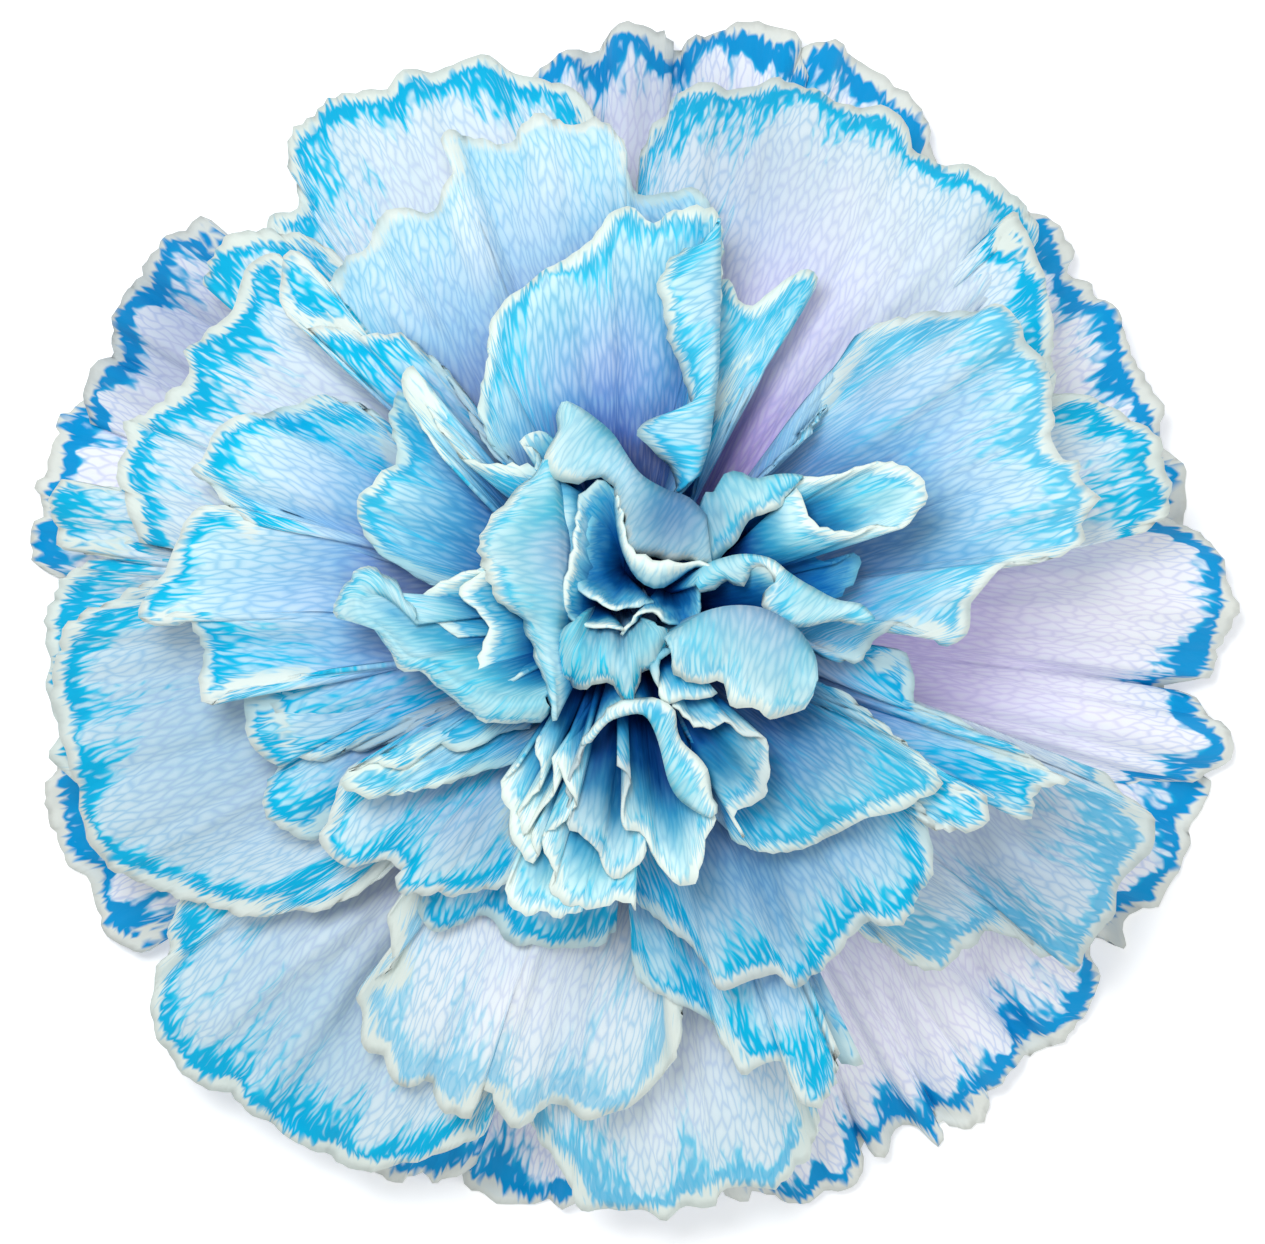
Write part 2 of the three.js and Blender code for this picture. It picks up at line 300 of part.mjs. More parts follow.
petal("heart_24", "heart", { lift: -0.5, root: [2.2, 2.6] },
      [[-0.6, -1.3], [0, -0.5], [0.6, 0.2], [1.2, 0.5], [1.7, 0.2], [2.3, -0.5], [3.1, -0.9],
       [3.9, -0.8], [4.5, -0.1], [4.6, 0.9], [4.5, 1.8], [4.7, 2.9]]);
petal("heart_25", "heart", { lift: -1.2, root: [0.2, 3.4] },
      [[-2, 7.8], [-2.6, 6.6], [-3.2, 4.9], [-3.6, 3.2], [-3.5, 1.7], [-2.9, 1.1], [-2.2, 0.9],
       [-1.5, 0.4], [-0.2, 0.35], [0.9, 0.5], [1.6, 0.7]]);
petal("heart_26", "heart", { lift: -0.6, hump: 3, root: [-1.8, 6] },
      [[-5.4, 9.3], [-5.1, 8], [-4.9, 6.4], [-4.8, 4.6], [-4.6, 3], [-4.5, 1.6]]);
petal("heart_27", "heart", { lift: 1, arch: 0.5, root: [1.6, 5], foldLift: -1.6, fold: [[-1, 8.2],
      [-0.95, 7], [-0.75, 5.6], [-0.4, 4.2], [0.3, 2.8], [1.1, 2.05], [2, 1.85], [3, 2.4], [4.3, 3.2],
      [5.4, 3]] },
      [[-0.8, 8.2], [-0.55, 7], [-0.35, 5.8], [-0.05, 4.5], [0.7, 3.85], [1.8, 3.65], [3, 3.55],
       [4.3, 3.5], [5.5, 3.1]]);

function catmullRom(points, count) {
  // Points at equal distances along a smooth line through the given ones.
  const dense = [];
  const perSpan = 10;
  for (let i = 0; i < points.length - 1; i += 1) {
    const a = points[Math.max(i - 1, 0)];
    const b = points[i];
    const c = points[i + 1];
    const d = points[Math.min(i + 2, points.length - 1)];
    for (let k = 0; k < perSpan; k += 1) {
      const t = k / perSpan;
      dense.push([0, 1].map((j) => 0.5 * (2 * b[j] + (c[j] - a[j]) * t
        + (2 * a[j] - 5 * b[j] + 4 * c[j] - d[j]) * t * t
        + (3 * b[j] - a[j] - 3 * c[j] + d[j]) * t * t * t)));
    }
  }
  dense.push(points[points.length - 1]);
  const travelled = [0];
  for (let i = 1; i < dense.length; i += 1) {
    travelled.push(travelled[i - 1] + Math.hypot(dense[i][0] - dense[i - 1][0], dense[i][1] - dense[i - 1][1]));
  }
  const total = travelled[travelled.length - 1];
  const even = [];
  let span = 0;
  for (let i = 0; i <= count; i += 1) {
    const wanted = (total * i) / count;
    while (span < dense.length - 2 && travelled[span + 1] < wanted) span += 1;
    const length = travelled[span + 1] - travelled[span];
    const t = length > 0 ? (wanted - travelled[span]) / length : 0;
    even.push([0, 1].map((j) => dense[span][j] + (dense[span + 1][j] - dense[span][j]) * t));
  }
  return { even, total };
}

function marginHeight(row, x, y, lift) {
  return row.edgeZ + (row.edgeR - Math.hypot(x, y)) * row.slope + lift;
}

function wave(row, x, y) {
  // Ruffles shared by the whole row, so that neighbours lie in each other's hollows.
  const turn = Math.atan2(y, x);
  return row.waveHeight * RUFFLES.reduce((sum, { share, start }, i) => sum
    + share * Math.sin(row.waves[i] * turn + start), 0);
}

function bezier(p0, p1, p2, p3, t) {
  const s = 1 - t;
  return p0.map((value, i) => s * s * s * value + 3 * s * s * t * p1[i] + 3 * s * t * t * p2[i] + t * t * t * p3[i]);
}

function bladePoint(spec, row, root, fold, rim, v) {
  // From the root up to the margin, or first over the fold.
  const pastFold = fold && v > FOLD_AT;
  const end = fold && !pastFold ? fold : rim;
  const start = pastFold ? fold : root;
  const t = pastFold ? (v - FOLD_AT) / (1 - FOLD_AT) : v / (fold ? FOLD_AT : 1);
  const mix = (a, b, k) => a + (b - a) * k;
  if (pastFold) {
    const over = spec.arch ?? 1;
    return [0, 1, 2].map((i) => mix(start[i], end[i], t) + (i === 2 ? over * 4 * t * (1 - t) : 0));
  }
  const reach = row.reach;
  const knee = [start[0], start[1], start[2] + row.rise];
  const crest = [mix(start[0], end[0], reach), mix(start[1], end[1], reach),
    mix(start[2] + row.rise, end[2], reach) + row.arch + (spec.hump ?? 0)];
  return bezier(start, knee, crest, end, t);
}

function turnOf(margin, centre) {
  // 1 where the margin runs anticlockwise round the centre, otherwise -1.
  const swept = margin.slice(1).reduce((sum, [x, y], i) => sum
    + (margin[i][0] - centre[0]) * (y - centre[1]) - (margin[i][1] - centre[1]) * (x - centre[0]), 0);
  return swept >= 0 ? 1 : -1;
}

function bladeGrid(spec) {
  const row = ROWS[spec.row];
  const lift = spec.lift ?? 0;
  const length = catmullRom(spec.margin, 1).total;
  const count = Math.max(FEWEST_COLUMNS, Math.round(length / row.step));
  const margin = catmullRom(spec.margin, count).even;
  const fold = spec.fold ? catmullRom(spec.fold, count).even : null;
  const middle = margin.reduce((sum, p) => [sum[0] + p[0] / margin.length, sum[1] + p[1] / margin.length], [0, 0]);
  const away = Math.hypot(...middle) || 1;
  const out = [middle[0] / away, middle[1] / away];
  const rootAt = spec.root ?? [out[0] * row.rootR, out[1] * row.rootR];
  const levels = spec.fold ? FOLD_LEVELS : row.levels;
  const way = turnOf(margin, rootAt);
  return levels.map((along) => margin.map((point, i) => {
    const side = (i / count - 0.5) * row.claw * way;
    const root = [rootAt[0] + out[1] * side * -1, rootAt[1] + out[0] * side, row.rootZ];
    const rim = [point[0], point[1], marginHeight(row, point[0], point[1], lift)];
    const over = fold
      ? [fold[i][0], fold[i][1], marginHeight(row, fold[i][0], fold[i][1], lift + (spec.foldLift ?? 1))]
      : null;
    const at = bladePoint(spec, row, root, over, rim, along);
    at[2] += wave(row, at[0], at[1]) * along * along;
    at[2] = Math.max(at[2], PETAL_THICKNESS / 2);
    return new THREE.Vector3(...at);
  }));
}

function closedBlade(grid, thickness) {
  // Both faces of the blade are split into triangles alike; the edges are closed all round.
  const rows = grid.length;
  const columns = grid[0].length;
  const vertices = [];
  for (const face of [1, -1]) {
    for (let j = 0; j < rows; j += 1) {
      for (let i = 0; i < columns; i += 1) {
        const across = new THREE.Vector3().subVectors(
          grid[j][Math.min(i + 1, columns - 1)], grid[j][Math.max(i - 1, 0)]);
        const along = new THREE.Vector3().subVectors(
          grid[Math.min(j + 1, rows - 1)][i], grid[Math.max(j - 1, 0)][i]);
        const normal = new THREE.Vector3().crossVectors(across, along).normalize();
        const at = grid[j][i].clone().addScaledVector(normal, (face * thickness) / 2);
        vertices.push(at.x, at.y, Math.max(at.z, 0));
      }
    }
  }
  const top = (j, i) => j * columns + i;
  const bottom = (j, i) => rows * columns + j * columns + i;
  const triangles = [];
  const quad = (a, b, c, d) => triangles.push(a, b, c, a, c, d);
  for (let j = 0; j < rows - 1; j += 1) {
    for (let i = 0; i < columns - 1; i += 1) {
      quad(top(j, i), top(j, i + 1), top(j + 1, i + 1), top(j + 1, i));
      quad(bottom(j + 1, i), bottom(j + 1, i + 1), bottom(j, i + 1), bottom(j, i));
    }
  }
  for (let j = 0; j < rows - 1; j += 1) {
    quad(top(j + 1, 0), bottom(j + 1, 0), bottom(j, 0), top(j, 0));
    quad(top(j, columns - 1), bottom(j, columns - 1), bottom(j + 1, columns - 1), top(j + 1, columns - 1));
  }
  for (let i = 0; i < columns - 1; i += 1) {
    quad(top(0, i), bottom(0, i), bottom(0, i + 1), top(0, i + 1));
    quad(top(rows - 1, i + 1), bottom(rows - 1, i + 1), bottom(rows - 1, i), top(rows - 1, i));
  }
  return { vertices, triangles };
}

const wasm = await Module();
wasm.setup();

function solid({ vertices, triangles }) {
  const made = new wasm.Manifold(new wasm.Mesh({
    numProp: 3, vertProperties: new Float32Array(vertices), triVerts: new Uint32Array(triangles) }));
  if (made.volume() >= 0) return made;
  const flipped = [];
  for (let i = 0; i < triangles.length; i += 3) flipped.push(triangles[i], triangles[i + 2], triangles[i + 1]);
  return new wasm.Manifold(new wasm.Mesh({
    numProp: 3, vertProperties: new Float32Array(vertices), triVerts: new Uint32Array(flipped) }));
}

function turned(profile, sides) {
  // A solid of revolution whose profile starts and ends on the axis.
  const vertices = [];
  const rings = profile.map(([radius, z]) => {
    const first = vertices.length / 3;
    const count = radius > 0 ? sides : 1;
    for (let i = 0; i < count; i += 1) {
      const turn = (2 * Math.PI * i) / sides;
      vertices.push(radius * Math.cos(turn), radius * Math.sin(turn), z);
    }
    return { first, count };
  });
  const at = (ring, i) => ring.first + (ring.count > 1 ? i % sides : 0);
  const triangles = [];
  for (let j = 0; j < rings.length - 1; j += 1) {
    for (let i = 0; i < sides; i += 1) {
      const [a, b] = [at(rings[j], i), at(rings[j], i + 1)];
      const [c, d] = [at(rings[j + 1], i), at(rings[j + 1], i + 1)];
      if (a !== b) triangles.push(a, b, d);
      if (c !== d) triangles.push(a, d, c);
    }
  }
  return solid({ vertices, triangles });
}

function calyxRadius(z) {
  const line = CALYX.outline;
  for (let i = 1; i < line.length; i += 1) {
    if (z <= line[i][0]) {
      const t = (z - line[i - 1][0]) / (line[i][0] - line[i - 1][0]);
      return line[i - 1][1] + (line[i][1] - line[i - 1][1]) * Math.max(t, 0);
    }
  }
  return line[line.length - 1][1];
}

function bractRelief(turn, z) {
  // Pointed scales hug the lower part of the tube.
  const sector = (2 * Math.PI) / CALYX.bracts;
  const offset = Math.abs(((turn % sector) + sector) % sector - sector / 2);
  const height = (z - CALYX.bottom) / (CALYX.bractTop - CALYX.bottom);
  const reach = CALYX.bractHalfWidth * (1 - Math.max(height, 0) ** CALYX.bractTaper);
  return height < 1 && offset < reach ? CALYX.bractRelief * Math.min(1, (reach - offset) * CALYX.bractEdge) : 0;
}

function calyxSolid() {
  // A tube with a floor; its mouth runs up into pointed teeth, which lean out a little.
  const vertices = [];
  const rings = [];
  const ring = (place) => {
    rings.push(vertices.length / 3);
    for (let i = 0; i < CALYX.steps; i += 1) vertices.push(...place((2 * Math.PI * i) / CALYX.steps));
  };
  const tip = (turn) => {
    const phase = ((turn * CALYX.teeth) / (2 * Math.PI)) % 1;
    return 1 - Math.abs(phase * 2 - 1);
  };
  const top = (turn) => CALYX.mouth + CALYX.toothHeight * tip(turn) ** CALYX.toothTaper;
  const place = (turn, radius, z) => [radius * Math.cos(turn), radius * Math.sin(turn), z];
  ring((turn) => place(turn, AXIS_RADIUS, CALYX.bottom));
  for (const level of CALYX.outerLevels) {
    ring((turn) => {
      const z = CALYX.bottom + (CALYX.mouth - CALYX.bottom) * level;
      return place(turn, calyxRadius(z) + bractRelief(turn, z), z);
    });
  }
  ring((turn) => place(turn, calyxRadius(CALYX.mouth) + CALYX.flare * tip(turn), top(turn)));
  ring((turn) => place(turn, calyxRadius(CALYX.mouth) - CALYX.wall + CALYX.flare * tip(turn), top(turn)));
  for (const level of CALYX.innerLevels) {
    ring((turn) => {
      const z = Math.max(CALYX.bottom + (CALYX.mouth - CALYX.bottom) * level, CALYX.floor);
      return place(turn, calyxRadius(z) - CALYX.wall, z);
    });
  }
  ring((turn) => place(turn, calyxRadius(CALYX.floor) - CALYX.wall, CALYX.floor));
  ring((turn) => place(turn, AXIS_RADIUS, CALYX.floor));
  const triangles = [];
  for (let j = 0; j < rings.length - 1; j += 1) {
    for (let i = 0; i < CALYX.steps; i += 1) {
      const k = (i + 1) % CALYX.steps;
      const [a, b, c, d] = [rings[j] + i, rings[j] + k, rings[j + 1] + k, rings[j + 1] + i];
      triangles.push(a, b, c, a, c, d);
    }
  }
  const cap = (first, up) => {
    for (let i = 1; i < CALYX.steps - 1; i += 1) {
      triangles.push(...(up ? [first, first + i, first + i + 1] : [first, first + i + 1, first + i]));
    }
  };
  cap(rings[0], false);
  cap(rings[rings.length - 1], true);
  return solid({ vertices, triangles });
}

function largest(made) {
  return made.decompose().reduce((best, piece) => (piece.volume() > best.volume() ? piece : best));
}

function weldedMesh(made, grid) {
  // Vertices closer than the grid become one.
  const { triVerts, vertProperties } = made.getMesh();
  const places = new Map();
  const vertices = [];
  const welded = [];
  for (let i = 0; i < vertProperties.length; i += 3) {
    const at = [0, 1, 2].map((k) => Math.round(vertProperties[i + k] / grid) * grid);
    const key = at.map((value) => value.toFixed(4)).join(" ");
    if (!places.has(key)) {
      places.set(key, vertices.length / 3);
      vertices.push(...at);
    }
    welded.push(places.get(key));
  }
  const triangles = withoutFlaps(Array.from(triVerts, (vertex) => welded[vertex]));
  let clean = unpinched(triangles);
  for (let round = 0; round < CLEANING_ROUNDS; round += 1) {
    clean = withoutSlivers(vertices, withoutShortEdges(vertices, clean));
  }
  return { vertices, triangles: clean };
}

function withoutFlaps(triangles) {
  // Drops triangles that have closed up, and pairs that lie back to back.
  const kept = new Map();
  for (let i = 0; i < triangles.length; i += 3) {
    const corners = triangles.slice(i, i + 3);
    if (new Set(corners).size < 3) continue;
    const sorted = [...corners].sort((p, q) => p - q);
    const turn = corners.indexOf(sorted[0]);
    const facesUp = corners[(turn + 1) % 3] === sorted[1];
    const key = sorted.join(" ");
    const held = kept.get(key) ?? [];
    const opposite = held.findIndex((other) => other.facesUp !== facesUp);
    if (opposite >= 0) held.splice(opposite, 1);
    else held.push({ corners, facesUp });
    kept.set(key, held);
  }
  return [...kept.values()].flat().flatMap(({ corners }) => corners);
}

function unpinched(triangles) {
  // An edge that more than two triangles share is drawn together to a point.
  let current = triangles;
  for (let pass = 0; pass < MOST_CLEANING_PASSES; pass += 1) {
    const uses = new Map();
    for (let i = 0; i < current.length; i += 3) {
      for (let k = 0; k < 3; k += 1) {
        const [a, b] = [current[i + k], current[i + ((k + 1) % 3)]];
        const key = a < b ? `${a} ${b}` : `${b} ${a}`;
        uses.set(key, (uses.get(key) ?? 0) + 1);
      }
    }
    const pinched = [...uses].filter(([, count]) => count > 2).map(([key]) => key.split(" ").map(Number));
    if (pinched.length === 0) break;
    const moved = new Map();
    for (const [a, b] of pinched) if (!moved.has(a) && !moved.has(b)) moved.set(b, a);
    current = withoutFlaps(current.map((vertex) => moved.get(vertex) ?? vertex));
  }
  return current;
}

function distanceBetween(vertices, a, b) {
  return Math.hypot(vertices[3 * a] - vertices[3 * b], vertices[3 * a + 1] - vertices[3 * b + 1],
    vertices[3 * a + 2] - vertices[3 * b + 2]);
}

function withoutShortEdges(vertices, triangles) {
  // A very short edge shrinks to one of its ends, where that leaves the skin whole.
  let current = triangles;
  for (let pass = 0; pass < MOST_CLEANING_PASSES; pass += 1) {
    const neighbours = new Map();
    const join = (a, b) => {
      if (!neighbours.has(a)) neighbours.set(a, new Set());
      neighbours.get(a).add(b);
    };
    const short = [];
    for (let i = 0; i < current.length; i += 3) {
      for (let k = 0; k < 3; k += 1) {
        const [a, b] = [current[i + k], current[i + ((k + 1) % 3)]];
        join(a, b);
        join(b, a);
        const length = distanceBetween(vertices, a, b);
        if (a < b && length < SHORTEST_EDGE) short.push([length, a, b]);
      }
    }
    short.sort((p, q) => p[0] - q[0]);
    const touched = new Set();
    const moved = new Map();
    for (const [, a, b] of short) {
      const around = [...neighbours.get(a), ...neighbours.get(b)];
      const shared = [...neighbours.get(a)].filter((vertex) => neighbours.get(b).has(vertex));
      if (shared.length !== 2 || touched.has(a) || touched.has(b)) continue;
      if (around.some((vertex) => touched.has(vertex))) continue;
      moved.set(b, a);
      around.forEach((vertex) => touched.add(vertex));
    }
    if (moved.size === 0) break;
    current = withoutFlaps(current.map((vertex) => moved.get(vertex) ?? vertex));
  }
  return current;
}

function withoutSlivers(vertices, triangles) {
  // A triangle with next to no height gives its long side up to its neighbour.
  const at = (i) => new THREE.Vector3(vertices[3 * i], vertices[3 * i + 1], vertices[3 * i + 2]);
  const corners = [];
  for (let i = 0; i < triangles.length; i += 3) corners.push(triangles.slice(i, i + 3));
  for (let pass = 0; pass < MOST_CLEANING_PASSES; pass += 1) {
    const owner = new Map();
    corners.forEach((list, index) => {
      for (let k = 0; k < 3; k += 1) owner.set(`${list[k]} ${list[(k + 1) % 3]}`, index);
    });
    const touched = new Set();
    let flips = 0;
    corners.forEach((list, index) => {
      if (touched.has(index)) return;
      const sides = [0, 1, 2].map((k) => at(list[k]).distanceTo(at(list[(k + 1) % 3])));
      const longest = sides.indexOf(Math.max(...sides));
      const [a, b, c] = [0, 1, 2].map((k) => list[(longest + k) % 3]);
      const area = at(b).sub(at(a)).cross(at(c).sub(at(a))).length();
      if (area / sides[longest] > LEAST_HEIGHT) return;
      const other = owner.get(`${b} ${a}`);
      if (other === undefined || touched.has(other)) return;
      const d = corners[other].find((vertex) => vertex !== a && vertex !== b);
      if (d === c || owner.has(`${c} ${d}`) || owner.has(`${d} ${c}`)) return;
      corners[index] = [a, d, c];
      corners[other] = [d, b, c];
      touched.add(index);
      touched.add(other);
      owner.set(`${c} ${d}`, index);
      flips += 1;
    });
    if (flips === 0) break;
  }
  return corners.flat();
}

function outerSkin(made) {
  // Pockets shut in between crumpled blades are filled: only the largest closed skin is kept.
  return largest(solid(weldedMesh(largest(made.simplify(SKIN_TOLERANCE)), WELD)));
}

function bloomSolid() {
  let joined = turned(BUNDLE_PROFILE, BUNDLE_SIDES);
  for (const spec of PETALS) joined = joined.add(solid(closedBlade(bladeGrid(spec), PETAL_THICKNESS)));
  return outerSkin(joined);
}

function stemSolid() {
  // The cut end of the stem widens into the node that carries the calyx.
  return turned([
    [0, 0], [STEM.radius, 0], [STEM.radius, STEM.nodeHeight - STEM.nodeRise], [STEM.nodeRadius, STEM.nodeHeight],
    [STEM.nodeRadius, STEM.top], [0, STEM.top]], STEM.sides);
}

function node(name, made) {
  const mesh = made.getMesh();
  const geometry = new THREE.BufferGeometry();
  geometry.setAttribute("position", new THREE.BufferAttribute(new Float32Array(mesh.vertProperties), 3));
  geometry.setIndex(new THREE.BufferAttribute(new Uint32Array(mesh.triVerts), 1));
  geometry.computeVertexNormals();
  const result = new THREE.Mesh(geometry, new THREE.MeshStandardMaterial({
    color: COLOURS[name], roughness: ROUGHNESS[name], metalness: 0 }));
  result.name = name;
  return result;
}

const group = new THREE.Group();
group.name = "carnation";

group.add(node("petals", bloomSolid()));
group.add(node("calyx", calyxSolid()));
group.add(node("stem", stemSolid()));

export default group;
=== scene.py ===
"""Looks of the tinted carnation: ruffled dye-edged petals, green calyx and cut stem, seen from above."""
import math
import random

import bpy
import numpy as np
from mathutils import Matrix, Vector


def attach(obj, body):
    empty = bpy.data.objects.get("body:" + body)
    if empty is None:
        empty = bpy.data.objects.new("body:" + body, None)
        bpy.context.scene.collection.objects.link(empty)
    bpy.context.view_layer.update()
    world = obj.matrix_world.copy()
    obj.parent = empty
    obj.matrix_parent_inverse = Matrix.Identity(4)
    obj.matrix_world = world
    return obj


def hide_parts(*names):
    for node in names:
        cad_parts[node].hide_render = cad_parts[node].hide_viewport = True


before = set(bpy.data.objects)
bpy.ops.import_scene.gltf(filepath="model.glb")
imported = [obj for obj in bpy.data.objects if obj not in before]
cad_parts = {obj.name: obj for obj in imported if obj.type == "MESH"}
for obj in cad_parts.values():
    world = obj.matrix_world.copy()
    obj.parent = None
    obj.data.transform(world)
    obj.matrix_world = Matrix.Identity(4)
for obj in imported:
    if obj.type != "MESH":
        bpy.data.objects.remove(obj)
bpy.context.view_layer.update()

MM = 0.001

# Petal rows, in millimetres. A margin point at radius r stands at edge_z + (edge_r - r) * slope. A petal
# starts on a claw at root_r, root_z, rises, and crests arch above the way to its margin. dye is how strong
# its band is.
ROWS = {
    "guard": dict(edge_r=40, edge_z=0.6, slope=0.6, root_r=4.6, root_z=22.6, rise=6, claw=5,
                  reach=0.55, arch=5, waves=(15, 26), wave_height=1.3, frill=0.55, dye=1),
    "outer": dict(edge_r=40, edge_z=9, slope=0.9, root_r=4.6, root_z=24, rise=7, claw=5,
                  reach=0.55, arch=6, waves=(13, 22), wave_height=0.9, frill=0.5, dye=1),
    "middle": dict(edge_r=34, edge_z=21.5, slope=0.65, root_r=4.2, root_z=27, rise=8, claw=4,
                   reach=0.55, arch=4, waves=(11, 19), wave_height=0.7, frill=0.4, dye=1),
    "inner": dict(edge_r=27, edge_z=30.5, slope=0.45, root_r=3.2, root_z=30, rise=7, claw=3,
                  reach=0.55, arch=2, waves=(9, 17), wave_height=0.5, frill=0.3, dye=0.9),
    "heart": dict(edge_r=20, edge_z=37, slope=0.3, root_r=1.6, root_z=32, rise=5, claw=2,
                  reach=0.5, arch=0.5, waves=(7, 15), wave_height=0.4, frill=0.25, dye=0.85),
}

PETAL_THICKNESS = 0.32
LIP_THICKNESS = 0.2
CELL_ACROSS = 0.5
CELL_ALONG = 0.6
TOOTH_PITCH = 1.5
TOOTH_DEPTH = 0.32
FRILL_WAVES = ((7.5, 0.5), (4.3, 0.35), (2.6, 0.25))
LIP_CURL = 0.4
LIP_CURL_WIDTH = 1.3
CURL_SEED = 500
ENDS_FADE = 3
LIP_DEPTH = 3
BLADE_SLACK = 1.15
FRILL_START = 0.35
CREASE_START = 0.45
PATTERN_SHIFT = 53.7
FAN_SHARE = 0.35
UNDYED_DEPTH = 6
UNDYED_EDGE = 1.5
MAP_HALF = 45
MAP_CELL = 0.75
MAP_CELLS = 120
SKY_DIRECTIONS = 12
SKY_REACHES = (1.2, 2.2, 3.5, 5.5, 8.5)
SKY_CLEARANCE = 0.4
CURVE_STEPS = 10
POINTS_AT_ONCE = 64
FULL_TURN = 2 * math.pi

PETALS = []


def petal(name, margin, **options):
    """One petal, seen from above: its margin as x, y points, and what sets it apart from its row.

    Its name starts with its row, unless row says otherwise. Its shape may have a lift over the row, a hump,
    a root of its own, a fold line with fold_lift and arch, and creases as x, y, x, y, width and height. Its
    colour may have a band strength, bare ends, a hollow share that scales its painted shade in hollows,
    and round spots as x, y, radius and strength: cyan and lilac tints of its own, shade spots of painted
    shade, and pale spots that are partly its own paler colour and partly painted light.
    """
    PETALS.append({"row": name.split("_")[0], "margin": margin, **options})


petal("guard_1", [
    (-7.5, 34.5), (-6.2, 36.3), (-3.6, 38), (-2.1, 37.8), (-1.3, 39), (2.1, 39.3), (3.3, 37.6),
    (4.6, 38.7), (6.2, 38.9), (7.5, 39.9), (9.6, 39.6), (11.2, 38.3), (12, 36)],
    lift=1.5, shade=[(2, 33.5, 6, 0.45)], creases=[(3.4, 34, 3.5, 38, 0.5, -1.2),
    (10, 34.5, 11.4, 38, 0.5, -1.2), (-1.6, 34.5, -1.7, 38, 0.5, -0.8), (7, 35, 7.4, 39.5, 1.2, 0.6)])
petal("guard_2", [
    (10.6, 36.2), (11.8, 38), (13.4, 38.2), (15.6, 37.2), (17.6, 35.6), (18.6, 34.8), (20, 32.5),
    (20.7, 30.2), (20.2, 28.5)])
petal("guard_3", [
    (25.5, 27.6), (28, 26.5), (29.6, 24.6), (29.2, 23.1), (31.2, 22.4), (31.3, 21), (32.9, 20.1),
    (33.4, 18.2), (34.9, 15.2), (35.5, 12.2), (34.9, 10.5)],
    lift=1)
petal("guard_4", [
    (34.4, 12), (36, 10.9), (37.3, 10.2), (37.4, 8.9), (37.5, 7.9), (37, 5.9), (35.8, 4.8)],
    lift=-1.5)
petal("guard_5", [
    (34.5, 7.2), (38.2, 5.3), (39.3, 4), (40.4, 2.1), (40.6, 0.2), (39.5, -1.2), (39.3, -3.3),
    (38.2, -4.3), (35.6, -4.9), (38, -6), (40.1, -7.2), (40.5, -8.8), (39.2, -10.4), (36.5, -11.2),
    (33.6, -11.6)],
    lift=1, hump=2, lilac=[(20, -1, 7, 0.5)], creases=[(24, -3, 36, -5.3, 0.7, -1.2),
    (26, -5.5, 39, -8.6, 1.1, 1), (28, 0, 39.5, -1.2, 0.9, -0.7), (28, 2.5, 40, 2, 1.2, 0.6)])
petal("guard_6", [
    (35.6, -9.6), (38.6, -11), (38.1, -14), (36.9, -17), (35.4, -19), (33.5, -20.4), (33.3, -22.4),
    (31.8, -21.6), (29.8, -21.6)],
    lift=-1)
petal("guard_7", [
    (29.8, -19.6), (31, -21.8), (31.5, -24.4), (30.2, -27), (27.9, -29.4), (26.2, -29.6), (24.4, -31.4),
    (23.9, -33.5), (22.6, -34.6), (20.8, -33.9), (20.6, -35.5), (18.3, -34.4), (16.8, -36.3),
    (15.7, -35.4), (15.6, -37.8), (14.4, -38.7), (12.5, -38.7), (10.7, -39.4), (8.6, -38.8), (7.7, -39.2),
    (6, -38.2), (4, -37)],
    creases=[(20, -19, 27.5, -29.4, 0.9, -1.6), (18, -20, 24, -31, 1.4, 0.8),
    (16, -22, 20.8, -34, 0.7, -0.9), (13, -26, 15.6, -35.4, 0.7, -0.9), (24, -18, 30.4, -24.6, 1.4, 0.8)])
petal("guard_8", [
    (-2, -38.6), (-4.2, -39.3), (-6, -39.4), (-8.6, -39.6), (-9.9, -38.7), (-11.2, -37.6), (-11.6, -36)],
    lift=-1)
petal("guard_9", [
    (-10.4, -36.6), (-11.7, -37.6), (-13.1, -38.3), (-13.9, -37.3), (-15.2, -37.5), (-16.1, -37.9),
    (-17.4, -36.8), (-18.5, -35.2)],
    lift=0.5)
petal("guard_10", [
    (-29.5, -19.5), (-31.5, -22), (-33.3, -22.4), (-35.3, -21.2), (-35.6, -20), (-36.4, -18.4),
    (-37.4, -16.8), (-38, -15.4), (-39.1, -13.4), (-39.2, -12), (-38.5, -10.2), (-37.6, -8.4),
    (-36.5, -7)])
petal("guard_11", [
    (-36.4, 1), (-38.7, 2.5), (-40.2, 5.2), (-39.3, 7), (-39.8, 8.6), (-38.9, 10.2), (-38.2, 12),
    (-38.4, 13.3), (-36.9, 14.5), (-35.6, 14.4)],
    lift=-1)
petal("guard_12", [
    (-36.2, 12.8), (-36.8, 15.2), (-35.6, 16.7), (-34.5, 17.4), (-35.1, 18.8), (-34.6, 20.2), (-33.3, 22),
    (-31.8, 24.1), (-31, 25.5), (-29.3, 26.3), (-28.3, 26.1), (-27.2, 24.8), (-25.8, 23)],
    lift=0.5, shade=[(-29, 18, 7, 0.6)], creases=[(-24, 14, -34.6, 20, 0.9, 0.9),
    (-24, 12, -34.6, 17.2, 0.7, -1.2), (-22, 17, -31.4, 25, 0.9, 0.9), (-23, 16, -33.4, 22, 0.7, -1.2)])
